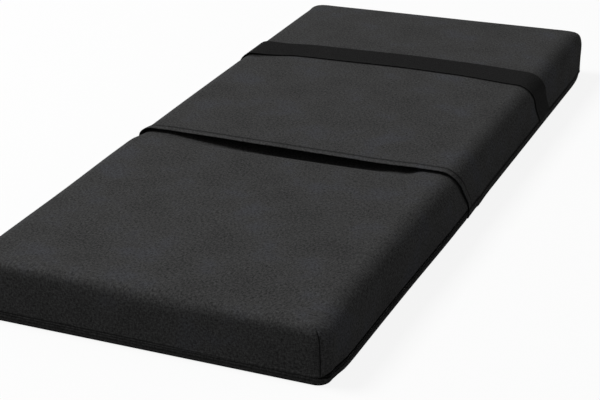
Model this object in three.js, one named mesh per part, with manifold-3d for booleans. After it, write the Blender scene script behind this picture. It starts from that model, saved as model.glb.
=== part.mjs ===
// Memory foam mattress with a zipped cover, a pull-over sleeve and an elastic band.
// Millimetres, +Z up. The origin is on the floor under the middle of the mattress:
// X runs across the short side, Y along the length, and the sleeve covers the +Y end.
import * as THREE from 'three';
import { mergeVertices } from 'three/addons/utils/BufferGeometryUtils.js';
import Module from 'manifold-3d';

const wasm = await Module();
wasm.setup();

// ---- driving dimensions ----
const WIDTH = 900;            // over the sleeve
const LENGTH = 2000;          // from the zip's bridge to the binding at the far end
const THICKNESS = 150;        // floor to the sleeve's top
const CLOTH = 1.5;            // cloth of the cover and the sleeve
const GAP = 0.3;              // clearance between touching pieces
const CORNER_RADIUS = 35;     // vertical corners, seen from above
const SHOULDER_RADIUS = 50;   // top edge
const FOOT_RADIUS = 5;        // bottom edge
const SEAM_Z = 20;            // height of the zip and of the sleeve's bound seam

const SLEEVE_SLACK = 1.7;     // sleeve wall to cover wall, room for the zip coil
const SLEEVE_TOP_SLACK = 0.5; // sleeve to cover on top
const COVER_SLACK = 2.9;      // cover wall to liner, room for the zip tape and slider
const LINER = 0.8;            // knitted liner
const LINER_MOUTH = { halfX: 380, low: 60, high: 90 };
const BASE_PANEL = 3.3;       // base panel where it lies on the floor
const BASE_STEP = 14;         // from the panel's step to the foot of the sleeve's mouth
const FOAM_SPLIT_Z = 93;      // top of the support foam
const COVER_END_Y = 995;      // cover's end faces
const SEAM_PROUD = 0.8;       // sewn seam beyond the cover's face
const SEAM_DEPTH = 2.2;       // sewn seam behind the cover's face

const MOUTH_Y = -185;         // sleeve's hem on top of the mattress
const MOUTH_FALL = [          // how far the hem leans back at each height: [lean, z]
  [0, 135], [20, 103], [52, 68], [66, 40], [68, 0],
];
const MOUTH_LIFT = 3;         // hem lifted at the middle of the gape
const LIFT_REACH = 110;       // how far the lift runs back along the sleeve
const DISH_DEPTH = 22;        // mattress top pressed in under the hem
const DISH_NEAR = 60;         // the dish starts this far before the hem
const DISH_FAR = 220;         // and ends this far under the sleeve
const GAPE_X = 60;            // deepest point of the gape, and its reach to each side
const GAPE_LEFT = 480;
const GAPE_RIGHT = 340;
const BINDING_HEIGHT = 2.8;   // tape sewn round the sleeve's seam
const BINDING_PROUD = 1.2;

const STRAP_WIDTH = 105;
const STRAP_THICKNESS = 1.8;
const STRAP_Y = 525;          // middle of the band on top
const STRAP_LEAN = 72;        // how far it would lean back at the floor

const COIL_HEIGHT = 1.6;      // each half of the zip coil
const COIL_PROUD = 1.1;       // coil beyond the cover's face
const ZIP_GAP = 1.2;          // between the two halves, where the slider's neck runs
const RIM_MARGIN = 0.8;       // cover's edges to the coil
const TAPE = 0.7;
const TAPE_HEIGHT = 13;
const ZIP_START_X = -412;     // top stop, on the near end
const ZIP_END_Y = 955;        // bottom stop, on the right side
const STOP_LENGTH = 3;

const SLIDER_X = -398;        // middle of the slider, zip closed
const PLATE = 1.0;            // slider's two plates
const NECK = 0.6;             // between the coils
const NECK_LENGTH = 5;
const BRIDGE = { length: 8.4, width: 2.4, bar: 0.6, post: 1.2, room: 2.0 };
const PIN_RADIUS = 0.6;       // pull tab's pin, under the bridge
const PULL_LENGTH = 30;
const PULL_HALF_WIDTH = 4.5;
const ARM = 1.4;              // width of each of the pull tab's arms
const ARM_LENGTH = 10;

// ---- worked-out sizes ----
const sleeveHalfX = WIDTH / 2;
const sleeveEndY = LENGTH / 2 - BINDING_PROUD;
const coverHalfX = sleeveHalfX - CLOTH - SLEEVE_SLACK;
const coverTop = THICKNESS - CLOTH - SLEEVE_TOP_SLACK;
const coverFloor = CLOTH + GAP;
const linerHalfX = coverHalfX - CLOTH - COVER_SLACK;
const linerEndY = COVER_END_Y - CLOTH - COVER_SLACK;
const linerTop = coverTop - CLOTH - GAP;
const linerFloor = BASE_PANEL + GAP;
const foamInset = LINER + GAP;
const rimUpperZ = SEAM_Z + ZIP_GAP / 2 + COIL_HEIGHT + RIM_MARGIN;
const rimLowerZ = SEAM_Z - ZIP_GAP / 2 - COIL_HEIGHT - RIM_MARGIN;
const bindingLow = SEAM_Z - BINDING_HEIGHT / 2;
const bindingHigh = SEAM_Z + BINDING_HEIGHT / 2;
const shoulderZ = THICKNESS - SHOULDER_RADIUS;
const mouthFootY = MOUTH_Y + MOUTH_FALL.at(-1)[0];
const faceY = -COVER_END_Y;   // outer face of the cover's near end
const margin = 60;            // how far the cutters run past the solids

// ---- colours ----
const colours = {
  cover: { color: 0x3b3c40, roughness: 0.95, metalness: 0 },
  base: { color: 0x26272a, roughness: 0.95, metalness: 0 },
  elastic: { color: 0x16171a, roughness: 0.9, metalness: 0 },
  zip: { color: 0x101113, roughness: 0.6, metalness: 0 },
  slider: { color: 0x1a1b1e, roughness: 0.4, metalness: 0.8 },
  liner: { color: 0xe8e6e0, roughness: 1, metalness: 0 },
  memory: { color: 0xf0e2b4, roughness: 1, metalness: 0 },
  support: { color: 0xdfe4ea, roughness: 1, metalness: 0 },
};

// ---- solids ----

// A three.js geometry as a manifold solid. Corners that meet are merged, and triangles
// that have shrunk to a line are dropped; the faces are turned outwards.
function solidOf(geometry) {
  const bare = new THREE.BufferGeometry();
  bare.setAttribute('position', geometry.getAttribute('position').clone());
  if (geometry.index) bare.setIndex(geometry.index.clone());
  const merged = mergeVertices(bare, 1e-4);
  const position = merged.getAttribute('position');
  const index = merged.index.array;
  const a = new THREE.Vector3();
  const b = new THREE.Vector3();
  const c = new THREE.Vector3();
  const kept = [];
  let volume = 0;
  for (let i = 0; i < index.length; i += 3) {
    const [p, q, r] = [index[i], index[i + 1], index[i + 2]];
    if (p === q || q === r || r === p) continue;
    kept.push(p, q, r);
    a.fromBufferAttribute(position, p);
    b.fromBufferAttribute(position, q);
    c.fromBufferAttribute(position, r);
    volume += a.dot(b.cross(c));
  }
  if (volume < 0) kept.reverse();
  const mesh = new wasm.Mesh({
    numProp: 3,
    vertProperties: new Float32Array(position.array),
    triVerts: new Uint32Array(kept),
  });
  return new wasm.Manifold(mesh);
}

function geometryOf(solid) {
  const mesh = solid.getMesh();
  const geometry = new THREE.BufferGeometry();
  geometry.setAttribute('position', new THREE.BufferAttribute(mesh.vertProperties, 3));
  geometry.setIndex(new THREE.BufferAttribute(mesh.triVerts, 1));
  geometry.computeVertexNormals();
  return geometry;
}

function box(x0, x1, y0, y1, z0, z1) {
  const geometry = new THREE.BoxGeometry(x1 - x0, y1 - y0, z1 - z0);
  geometry.translate((x0 + x1) / 2, (y0 + y1) / 2, (z0 + z1) / 2);
  return solidOf(geometry);
}

// A polygon of [y, z] corners, run from -X to +X.
function prismAcross(corners, halfX) {
  const shape = new THREE.Shape(corners.map(([y, z]) => new THREE.Vector2(y, z)));
  const geometry = new THREE.ExtrudeGeometry(shape, { depth: 2 * halfX, bevelEnabled: false });
  geometry.translate(0, 0, -halfX);
  geometry.applyMatrix4(new THREE.Matrix4().makeBasis(
    new THREE.Vector3(0, 1, 0), new THREE.Vector3(0, 0, 1), new THREE.Vector3(1, 0, 0)));
  return solidOf(geometry);
}

// ---- rounded slabs ----

const CORNER_STEPS = 4;
const X_STATIONS = [-300, -150, 0, 150, 300];
const Y_STATIONS = [
  -800, -600, -430, -320, -260, -235, -215, -197, -183, -155, -110, -50, 20, 150, 400, 750,
];
const TOP_INSETS = [80, 130, 195, 270, 355];

// One ring of a rounded rectangle, drawn in by inset. The stations on the straight sides
// keep their place from ring to ring and close up where a side has run out.
function ring({ halfX, y0, y1 }, inset) {
  const hx = halfX - inset;
  const radius = Math.min(CORNER_RADIUS, hx);
  const [near, far] = [y0 + inset + radius, y1 - inset - radius];
  const side = hx - radius;
  const points = [];
  const corner = (cx, cy, start) => {
    for (let i = 0; i <= CORNER_STEPS; i += 1) {
      const angle = start + (Math.PI / 2) * (i / CORNER_STEPS);
      points.push([cx + radius * Math.cos(angle), cy + radius * Math.sin(angle)]);
    }
  };
  const clamp = THREE.MathUtils.clamp;
  corner(side, near, -Math.PI / 2);
  Y_STATIONS.forEach((y) => points.push([hx, clamp(y, near, far)]));
  corner(side, far, 0);
  [...X_STATIONS].reverse().forEach((x) => points.push([clamp(x, -side, side), y1 - inset]));
  corner(-side, far, Math.PI / 2);
  [...Y_STATIONS].reverse().forEach((y) => points.push([-hx, clamp(y, near, far)]));
  corner(-side, near, Math.PI);
  X_STATIONS.forEach((x) => points.push([clamp(x, -side, side), y0 + inset]));
  return points;
}

// Rings one above the other, joined into a closed skin. The profile is a list of
// [inset, z]. It starts and ends at the middle of the slab, or closes on itself.
function slab(rect, profile, { loop = false, bend = null } = {}) {
  const rings = profile.map(([inset, z]) => ring(rect, inset).map(([x, y]) => [x, y, z]));
  const count = rings[0].length;
  const vertices = rings.flat().map(([x, y, z]) => [x, y, z + (bend ? bend(x, y, z) : 0)]);
  const index = [];
  const bands = loop ? rings.length : rings.length - 1;
  for (let band = 0; band < bands; band += 1) {
    const lower = band * count;
    const upper = ((band + 1) % rings.length) * count;
    // The diagonal always leaves from the outer ring, so nested skins crease alike.
    const inwards = profile[(band + 1) % rings.length][0] >= profile[band][0];
    for (let i = 0; i < count; i += 1) {
      const j = (i + 1) % count;
      if (inwards) index.push(lower + i, lower + j, upper + j, lower + i, upper + j, upper + i);
      else index.push(lower + i, lower + j, upper + i, lower + j, upper + j, upper + i);
    }
  }
  const geometry = new THREE.BufferGeometry();
  geometry.setAttribute('position', new THREE.Float32BufferAttribute(vertices.flat(), 3));
  geometry.setIndex(index);
  return solidOf(geometry);
}

// From the side at height z up over the rounded shoulder to the middle of the top.
function overTop(rect, z, top, radius, inset = 0) {
  const arc = [];
  for (let i = 0; i <= CORNER_STEPS; i += 1) {
    const angle = (Math.PI / 2) * (i / CORNER_STEPS);
    arc.push([inset + radius * (1 - Math.cos(angle)), top - radius * (1 - Math.sin(angle))]);
  }
  return [[inset, z], ...arc, ...TOP_INSETS.map((d) => [d + inset, top]), [rect.halfX, top]];
}

// From the side at height z down round the foot to the middle of the floor.
function underFloor(rect, z, floor, radius, inset = 0) {
  const cut = radius * (1 - Math.SQRT1_2);
  return [[inset, z], [inset, floor + radius], [inset + cut, floor + cut],
    [inset + radius, floor], [rect.halfX, floor]];
}

// ---- the shape of the gaping hem ----

// Full at the deepest point of the gape, and fading to nothing towards both sides.
function acrossWidth(x) {
  const u = (x - GAPE_X) / (x < GAPE_X ? GAPE_LEFT : GAPE_RIGHT);
  return Math.max(0, 1 - u ** 2);
}

// The mattress top falls away just before the hem, less and less below the top, and
// comes up again under the sleeve.
function dish(x, y, z) {
  const { smoothstep } = THREE.MathUtils;
  const fall = smoothstep(y, MOUTH_Y - DISH_NEAR, MOUTH_Y);
  const rise = smoothstep(y, MOUTH_Y, MOUTH_Y + DISH_FAR);
  const depth = smoothstep(z, FOAM_SPLIT_Z, linerTop);
  return -DISH_DEPTH * acrossWidth(x) * (fall - rise) * depth;
}

// The sleeve's top rises towards its hem.
function lift(x, y, z) {
  const along = Math.exp(-(((y - MOUTH_Y) / LIFT_REACH) ** 2));
  const height = THREE.MathUtils.smoothstep(z, shoulderZ, THICKNESS - CLOTH);
  return MOUTH_LIFT * acrossWidth(x) * along * height;
}

// ---- cutters ----

// Everything on the far side of the sleeve's mouth.
const beyondMouth = prismAcross([
  [MOUTH_Y, THICKNESS + margin],
  ...MOUTH_FALL.map(([lean, z]) => [MOUTH_Y + lean, z]),
  [mouthFootY, -margin], [LENGTH, -margin], [LENGTH, THICKNESS + margin],
], WIDTH);

const strapNear = STRAP_Y - STRAP_WIDTH / 2;
const strapFar = STRAP_Y + STRAP_WIDTH / 2;
const strapSlice = prismAcross([
  [strapNear + STRAP_LEAN, 0], [strapFar + STRAP_LEAN, 0],
  [strapFar, shoulderZ], [strapFar, THICKNESS + margin],
  [strapNear, THICKNESS + margin], [strapNear, shoulderZ],
], WIDTH);

// The L that the zip follows, along the near end and the right side, with both of its
// ends drawn in.
function zipReach(drawnIn) {
  const startX = ZIP_START_X + drawnIn;
  const endY = ZIP_END_Y - drawnIn;
  const nearEnd = box(startX, WIDTH, -LENGTH, faceY + margin, -margin, margin);
  const rightSide = box(coverHalfX - margin, WIDTH, -LENGTH, endY, -margin, margin);
  return nearEnd.add(rightSide);
}

// ---- foam core ----

const coverRect = { halfX: coverHalfX, y0: -COVER_END_Y, y1: COVER_END_Y };
const linerRect = { halfX: linerHalfX, y0: -linerEndY, y1: linerEndY };
const foamRect = {
  halfX: linerHalfX - foamInset, y0: -linerEndY + foamInset, y1: linerEndY - foamInset,
};

function supportFoam() {
  const top = FOAM_SPLIT_Z;
  return slab(foamRect, [
    ...underFloor(foamRect, top, linerFloor + foamInset, FOOT_RADIUS).reverse(),
    [foamRect.halfX, top],
  ]);
}

function memoryFoam() {
  const floor = FOAM_SPLIT_Z + GAP;
  const top = linerTop - foamInset;
  const profile = overTop(foamRect, floor, top, SHOULDER_RADIUS);
  return slab(foamRect, [[foamRect.halfX, floor], ...profile], { bend: dish });
}

// A knitted sock round both foams, with its mouth in the far end.
function liner() {
  const skin = (inset) => [
    ...underFloor(linerRect, FOAM_SPLIT_Z, linerFloor + inset, FOOT_RADIUS, inset).reverse(),
    ...overTop(linerRect, FOAM_SPLIT_Z + GAP, linerTop - inset, SHOULDER_RADIUS, inset),
  ];
  const { halfX, low, high } = LINER_MOUTH;
  const mouth = box(-halfX, halfX, linerEndY - margin / 2, linerEndY + margin, low, high);
  return slab(linerRect, skin(0), { bend: dish })
    .subtract(slab(linerRect, skin(LINER), { bend: dish }))
    .subtract(mouth);
}

// ---- cover ----

function coverUpper() {
  const outside = overTop(coverRect, rimUpperZ, coverTop, SHOULDER_RADIUS);
  const inside = overTop(coverRect, rimUpperZ, coverTop - CLOTH, SHOULDER_RADIUS, CLOTH);
  return slab(coverRect, [...inside.reverse(), ...outside], { bend: dish });
}

// A shallow tray. It lies on the floor up to the sleeve, and above the sleeve's base there.
function coverBase() {
  const outside = underFloor(coverRect, rimLowerZ, 0, FOOT_RADIUS);
  const inside = [[CLOTH, rimLowerZ], [CLOTH, BASE_PANEL], [coverRect.halfX, BASE_PANEL]];
  const raised = box(-WIDTH, WIDTH, mouthFootY - BASE_STEP, LENGTH, -margin, coverFloor);
  return slab(coverRect, [...outside.reverse(), ...inside]).subtract(raised);
}

// A strip of rectangular section right round the cover, before it is cut to length.
function hoop(rect, inner, outer, z0, z1) {
  return slab(rect, [[inner, z0], [outer, z0], [outer, z1], [inner, z1]], { loop: true });
}

function coverSeam() {
  return hoop(coverRect, SEAM_DEPTH, -SEAM_PROUD, rimLowerZ + GAP, rimUpperZ - GAP)
    .subtract(zipReach(-GAP));
}

// ---- zip ----

function zipCoil(side) {
  const middle = SEAM_Z + side * (ZIP_GAP + COIL_HEIGHT) / 2;
  return hoop(coverRect, CLOTH, -COIL_PROUD, middle - COIL_HEIGHT / 2, middle + COIL_HEIGHT / 2)
    .intersect(zipReach(STOP_LENGTH + GAP));
}

function zipTape(side) {
  const edge = SEAM_Z + side * ZIP_GAP / 2;
  const outer = edge + side * TAPE_HEIGHT;
  const inner = CLOTH + GAP;
  return hoop(coverRect, inner + TAPE, inner, Math.min(edge, outer), Math.max(edge, outer))
    .intersect(zipReach(0));
}

const stopBelow = SEAM_Z - ZIP_GAP / 2 - COIL_HEIGHT;
const stopAbove = SEAM_Z + ZIP_GAP / 2 + COIL_HEIGHT;

function topStop() {
  return box(ZIP_START_X, ZIP_START_X + STOP_LENGTH, faceY - COIL_PROUD, faceY + CLOTH,
    stopBelow, stopAbove);
}

function bottomStop() {
  return box(coverHalfX - CLOTH, coverHalfX + COIL_PROUD, ZIP_END_Y - STOP_LENGTH, ZIP_END_Y,
    stopBelow, stopAbove);
}

const frontY = faceY - COIL_PROUD - GAP;             // back of the slider's front plate
const backY = faceY + CLOTH + GAP + TAPE + GAP;      // front of its back plate
const bridgeY = frontY - PLATE - BRIDGE.room;        // back of its bridge
const pinY = bridgeY + BRIDGE.room / 2;
const weld = 0.1;                                    // overlap where shapes are joined

// A plate with a broad nose and a narrow tail, lying in the zip's plane in front of y.
function sliderPlate(y) {
  const shape = new THREE.Shape();
  shape.moveTo(-8, -3);
  shape.lineTo(-6, -5);
  shape.lineTo(1, -5);
  shape.lineTo(8, -3.2);
  shape.lineTo(8, 3.2);
  shape.lineTo(1, 5);
  shape.lineTo(-6, 5);
  shape.lineTo(-8, 3);
  const geometry = new THREE.ExtrudeGeometry(shape, { depth: PLATE, bevelEnabled: false });
  geometry.rotateX(Math.PI / 2);
  geometry.translate(SLIDER_X, y, SEAM_Z);
  return solidOf(geometry);
}

// Two plates and the thin neck that joins them between the coils, with a bridge on the
// front plate that holds the pull tab's pin.
function zipSlider() {
  const { length, width, bar, post } = BRIDGE;
  const neckX = SLIDER_X - NECK_LENGTH;
  const low = SEAM_Z - width / 2;
  const high = SEAM_Z + width / 2;
  const neck = box(neckX, neckX + NECK_LENGTH, frontY - weld, backY + weld,
    SEAM_Z - NECK / 2, SEAM_Z + NECK / 2);
  const bridge = box(SLIDER_X - length / 2, SLIDER_X + length / 2, bridgeY - bar, bridgeY,
    low, high);
  const posts = [-1, 1].map((end) => {
    const x = SLIDER_X + end * (length - post) / 2;
    return box(x - post / 2, x + post / 2, bridgeY - weld, frontY - PLATE + weld, low, high);
  });
  return [sliderPlate(frontY), neck, bridge, ...posts]
    .reduce((solid, piece) => solid.add(piece), sliderPlate(backY + PLATE));
}

// A tab on two arms, with a pin between them that turns under the slider's bridge.
function zipPull() {
  const half = PULL_HALF_WIDTH;
  const pin = new THREE.CylinderGeometry(PIN_RADIUS, PIN_RADIUS, 2 * half, 12);
  pin.rotateX(Math.PI / 2);
  pin.translate(SLIDER_X, pinY, SEAM_Z);
  const plate = (x0, x1, z0, z1) => box(
    SLIDER_X + x0, SLIDER_X + x1, pinY - PIN_RADIUS, pinY + PIN_RADIUS, SEAM_Z + z0, SEAM_Z + z1);
  const arms = [[-half, ARM - half], [half - ARM, half]]
    .map(([z0, z1]) => plate(-PIN_RADIUS, ARM_LENGTH, z0, z1));
  const tab = plate(ARM_LENGTH - ARM, PULL_LENGTH, -half, half);
  return [...arms, tab].reduce((solid, piece) => solid.add(piece), solidOf(pin));
}

// ---- sleeve ----

// The slabs that the sleeve is cut from start well before its mouth.
const sleeveRect = { halfX: sleeveHalfX, y0: MOUTH_Y - WIDTH, y1: sleeveEndY };
const sleeveRim = bindingHigh + GAP;

function sleeveUpper() {
  const outside = overTop(sleeveRect, sleeveRim, THICKNESS, SHOULDER_RADIUS);
  const inside = overTop(sleeveRect, sleeveRim, THICKNESS - CLOTH, SHOULDER_RADIUS, CLOTH);
  return slab(sleeveRect, [...inside.reverse(), ...outside], { bend: lift })
    .intersect(beyondMouth);
}

function sleeveBase() {
  const rim = bindingLow - GAP;
  const outside = underFloor(sleeveRect, rim, 0, FOOT_RADIUS);
  const inside = [[CLOTH, rim], [CLOTH, CLOTH], [sleeveRect.halfX, CLOTH]];
  return slab(sleeveRect, [...outside.reverse(), ...inside]).intersect(beyondMouth);
}

function sleeveBinding() {
  return hoop(sleeveRect, CLOTH, -BINDING_PROUD, bindingLow, bindingHigh)
    .intersect(beyondMouth);
}

// The band crosses over the sleeve and ends at the bound seam on each side.
function strapBand() {
  const grown = (offset) => ({
    halfX: sleeveHalfX + offset, y0: sleeveRect.y0 - offset, y1: sleeveRect.y1 + offset,
  });
  const outer = grown(GAP + STRAP_THICKNESS);
  const outside = overTop(outer, sleeveRim, THICKNESS + GAP + STRAP_THICKNESS,
    SHOULDER_RADIUS + GAP + STRAP_THICKNESS);
  const inside = overTop(outer, sleeveRim, THICKNESS + GAP, SHOULDER_RADIUS + GAP,
    STRAP_THICKNESS);
  return slab(outer, [...inside.reverse(), ...outside]).intersect(strapSlice);
}

// ---- assembly ----

const mattress = new THREE.Group();
mattress.name = 'memory_foam_mattress';

function place(name, solid, material, parent = mattress) {
  const mesh = new THREE.Mesh(geometryOf(solid), new THREE.MeshStandardMaterial(material));
  mesh.name = name;
  parent.add(mesh);
}

place('support_foam', supportFoam(), colours.support);
place('memory_foam', memoryFoam(), colours.memory);
place('inner_liner', liner(), colours.liner);
place('cover_top', coverUpper(), colours.cover);
place('cover_base', coverBase(), colours.base);
place('cover_seam', coverSeam(), colours.base);

const zip = new THREE.Group();
mattress.add(zip);
place('zip_tape_upper', zipTape(1), colours.zip, zip);
place('zip_tape_lower', zipTape(-1), colours.zip, zip);
place('zip_coil_upper', zipCoil(1), colours.zip, zip);
place('zip_coil_lower', zipCoil(-1), colours.zip, zip);
place('zip_top_stop', topStop(), colours.slider, zip);
place('zip_bottom_stop', bottomStop(), colours.slider, zip);
place('zip_slider', zipSlider(), colours.slider, zip);
place('zip_pull', zipPull(), colours.slider, zip);

const sleeve = new THREE.Group();
mattress.add(sleeve);
place('sleeve_top', sleeveUpper(), colours.cover, sleeve);
place('sleeve_base', sleeveBase(), colours.base, sleeve);
place('sleeve_binding', sleeveBinding(), colours.elastic, sleeve);
place('strap_band', strapBand(), colours.elastic, sleeve);

export default mattress;
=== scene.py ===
"""The looks of a memory foam mattress: its foam core, zipped cover, pull-over sleeve and strap.

Metres throughout, in the frame's own axes: X across the mattress, Y along it and Z up.
"""

import math

import bpy
import numpy as np
from bpy.props import FloatProperty, FloatVectorProperty, PointerProperty
from bpy.types import Operator, Panel, PropertyGroup
from mathutils import Matrix, Vector


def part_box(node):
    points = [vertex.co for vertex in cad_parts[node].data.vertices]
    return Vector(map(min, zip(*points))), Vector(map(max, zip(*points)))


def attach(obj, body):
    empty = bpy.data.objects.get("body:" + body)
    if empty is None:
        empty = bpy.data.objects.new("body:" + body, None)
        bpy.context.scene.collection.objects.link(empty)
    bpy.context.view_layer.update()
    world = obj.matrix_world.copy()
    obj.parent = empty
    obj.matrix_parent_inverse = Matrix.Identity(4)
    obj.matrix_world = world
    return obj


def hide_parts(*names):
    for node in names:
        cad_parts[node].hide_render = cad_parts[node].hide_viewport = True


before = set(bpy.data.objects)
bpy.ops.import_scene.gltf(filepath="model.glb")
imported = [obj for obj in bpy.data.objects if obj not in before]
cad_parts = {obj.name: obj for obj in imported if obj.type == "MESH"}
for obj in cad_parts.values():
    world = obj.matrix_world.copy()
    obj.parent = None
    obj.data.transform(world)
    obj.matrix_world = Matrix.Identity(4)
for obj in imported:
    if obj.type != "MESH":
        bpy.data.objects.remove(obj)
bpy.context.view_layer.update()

bl_info = {
    "name": "Memory foam mattress",
    "version": (1, 0, 0),
    "blender": (4, 5, 0),
    "location": "View3D > Sidebar > Mattress",
    "description": "Builds the cloth, foam, zip, sleeve and strap of a memory foam mattress",
    "category": "Object",
}

MM = 0.001
UP = np.array([0.0, 0.0, 1.0])


# ---- sizes that the frame gives ----


def corners(node):
    """The lowest and the highest corner of a CAD node, as arrays."""
    low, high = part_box(node)
    return np.array(low), np.array(high)


COVER_LOW, COVER_HIGH = corners("cover_top")
BASE_LOW, BASE_HIGH = corners("cover_base")
SLEEVE_LOW, SLEEVE_HIGH = corners("sleeve_top")
SLEEVE_BASE_LOW, SLEEVE_BASE_HIGH = corners("sleeve_base")
BINDING_LOW, BINDING_HIGH = corners("sleeve_binding")
LINER_LOW, LINER_HIGH = corners("inner_liner")
SUPPORT_LOW, SUPPORT_HIGH = corners("support_foam")
MEMORY_LOW, MEMORY_HIGH = corners("memory_foam")
STRAP_LOW, STRAP_HIGH = corners("strap_band")
TOP_STOP_X = corners("zip_top_stop")[0][0]

# ---- radii, cloths and lines that the frame's boxes do not give ----

CORNER = 35 * MM            # radius of the vertical corners, seen from above
SHOULDER = 50 * MM          # radius of the top edge
FOOT = 5 * MM               # radius of the bottom edge
CLOTH = 1.5 * MM            # thickness of the cover's and the sleeve's cloth
KNIT = 0.8 * MM             # thickness of the liner's
SEAM_Z = 20 * MM            # middle of the zip and of the bound seam
SEAM_TOP = 131 * MM         # where the corner seams end
SEAM_ANGLE = 64.0           # corner seam from the long side's outward direction, in degrees
SEAM_BITE = 0.6 * MM        # how far a bound seam takes in the rims of the cloth it joins
SPLIT_Z = 93 * MM           # between the two foams
SLIT_LOW = 60 * MM          # the liner's slit in its far end
SLIT_HIGH = 90 * MM
SLIT_REACH = 0.38           # how far the slit reaches to each side
SIDE_END = 0.96             # where the long sides' stations end, short of the corners
SHARP_ANGLE = 50.0          # edges that turn more than this are sharp, in degrees

# ---- how the hem, the dish and the strap lie ----

SLEEVE_TOP = 150 * MM       # sleeve's top away from its lifted hem
MOUTH_Y = SLEEVE_LOW[1]     # sleeve's hem on top
MOUTH_LEAN = 68 * MM        # how far the hem leans back at the floor
MOUTH_LIFT = 1.2 * MM       # how far the hem lifts in the middle
MOUTH_SLANT = 11.5 * MM     # and how much more for each metre further left
LIFT_REACH = 110 * MM       # how far along the sleeve that lift fades
DISH_DEPTH = 29.5 * MM      # top pressed in under the hem
DISH_NEAR = 60 * MM         # the dish's reach before the hem
DISH_FAR = 220 * MM         # and its reach under the sleeve
CORE_DISHED = 1.06          # the foam's and the liner's dish by the cover's
SWELL_OFF = 75 * MM         # middle of the sides' swelling, before the mouth
SWELL_NEAR = 230 * MM       # its width on the near side
SWELL_FAR = 42 * MM         # and on the mouth's
SAG = 9.5 * MM              # how far the right half of the near end has sunk
RIPPLE = 0.35 * MM          # unevenness of a cloth's flat top
WALL_RIPPLE = 0.25 * MM     # and of the cover's walls
GAPE_X = 60 * MM            # where the hem gapes most
GAPE_LEFT = 450 * MM        # the gape's reach to the left
GAPE_RIGHT = 320 * MM       # and to the right
HEM_SEWN = 3.5 * MM         # the hem's stitches from the end of its doubled cloth
HEM_PROUD = 0.7 * MM        # how far the doubled hem stands out
STRAP_Y = 525 * MM          # middle of the strap
STRAP_WIDTH = 105 * MM
STRAP_RIBS = 30
STRAP_LEAN = (75 * MM, 60 * MM)     # how far its two edges lean away down the right wall
STRAP_PULL = (21 * MM, 17 * MM)     # how far they come nearer towards the right shoulder
STRAP_LEFT = 30 * MM        # how far both come nearer towards the left one
STRAP_BOW = 8 * MM          # how far it bows away in the middle
STRAP_BITE = 0.7 * MM       # how deep the strap presses into the sleeve
ZIP_PARTS = 4.0 * MM        # how far each rim draws back from the zip on the right side
ZIP_CLOSES = 2.6 * MM       # how far each rim closes over it at the near end
ZIP_COVER = 1.1 * MM        # how far the rims stand out over it there
SEWN_DEEP = 0.3 * MM        # how deep the sewn lines beside it lie
BASE_LIFT = 1.8 * MM        # how far the cover's base is raised over the sleeve's

# Swellings of the right foot: how far out, middle, and width before and after it.
FOOT_SWELLS = ((2.2 * MM, -0.035, 0.01, 0.05), (1.5 * MM, -0.13, 0.04, 0.012))
# Its drawn-in corners: how far in, middle, width, and the heights over which they fade.
FOOT_CORNERS = ((7.0 * MM, -0.955, 0.03, 10 * MM, 60 * MM),
                (5.0 * MM, 0.976, 0.024, 3 * MM, 24 * MM))

# ---- thread, pitch by length by width by height, and the zip's small parts ----

CORNER_STITCH = (4.2 * MM, 2.9 * MM, 0.7 * MM, 0.6 * MM)
SEAM_STITCH = (4.0 * MM, 2.8 * MM, 0.6 * MM, 0.5 * MM)
HEM_STITCH = (4.4 * MM, 3.2 * MM, 1.1 * MM, 0.8 * MM)
BINDING_STITCH = (3.6 * MM, 2.5 * MM, 0.6 * MM, 0.5 * MM)
TOOTH = (3.2 * MM, 1.25 * MM, 1.5 * MM)
TOOTH_PITCH = 1.9 * MM
TAPE_HALF = 0.35 * MM       # half the zip tape's thickness
TAPE_IN = 2.15 * MM         # the tape's middle from the cover's outside
COIL_IN = 0.8 * MM          # the coil's middle from its own outside

# ---- the stage ----

KEY_PLACE = (-6.4, -1.5, 9.2)
KEY_TARGET = (0.0, 0.0, 0.07)
KEY_SIZE = 3.9
KEY_POWER = 1015.0
WORLD_LIGHT = 0.26          # what the world lights with, where it is seen as 1
FLOOR_REACH = 30.0
FLOOR_GAP = 0.4 * MM        # between the floor and the mattress
FLOOR_BOUNCE = 0.29         # the floor's own brightness for bounced light
FLOOR_SEEN = 0.11           # and as it is seen, over its glow
FLOOR_GLOW = 0.88           # a glow that lights nothing
CAMERA_TURN = (24.654, 24.499, -1.732)      # azimuth, elevation and roll, in degrees
CAMERA_OFF = (-0.0566, -0.0627, 4.2361)     # place to the right, up and back along them
CAMERA_LENS = 95.0


# ---- curves ----


def ramp(value, start, end):
    """0 before start, 1 after end, and 3tt - 2ttt of the way t in between."""
    t = np.clip((value - start) / (end - start), 0.0, 1.0)
    return t * t * (3.0 - 2.0 * t)


def bell(distance, width):
    """exp(-(d / width)^2) of the distance d."""
    return np.exp(-(distance / width) ** 2)


def hump(value, centre, before, after):
    """A bell of the distance to the centre, with a width for each side."""
    distance = value - centre
    return bell(distance, np.where(distance < 0, before, after))


def round_edge(distance, half):
    """How far each face of a cloth draws in near its edge, so that the edge is a half circle."""
    t = 1.0 - np.clip(distance / half, 0.0, 1.0)
    return 0.9 * half * (1.0 - np.sqrt(1.0 - t * t))


def lengths(path):
    """The length along a path at each of its points."""
    steps = np.linalg.norm(np.diff(path, axis=0), axis=1)
    return np.concatenate([[0.0], np.cumsum(steps)])


def resample(path, pitch, *carried):
    """The path, and the vectors carried along it, at even steps of about one pitch."""
    along = lengths(path)
    even = np.linspace(0.0, along[-1], max(2, round(along[-1] / pitch) + 1))

    def pick(values):
        return stacked(*(np.interp(even, along, column) for column in values.T))

    return [pick(path), *(pick(values) for values in carried)]


def axes(points):
    """The x, the y and the z of every point."""
    return points[..., 0], points[..., 1], points[..., 2]


def stacked(*values):
    """Single values and arrays that fit each other as one array of points."""
    return np.stack(np.broadcast_arrays(*values), -1)


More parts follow.
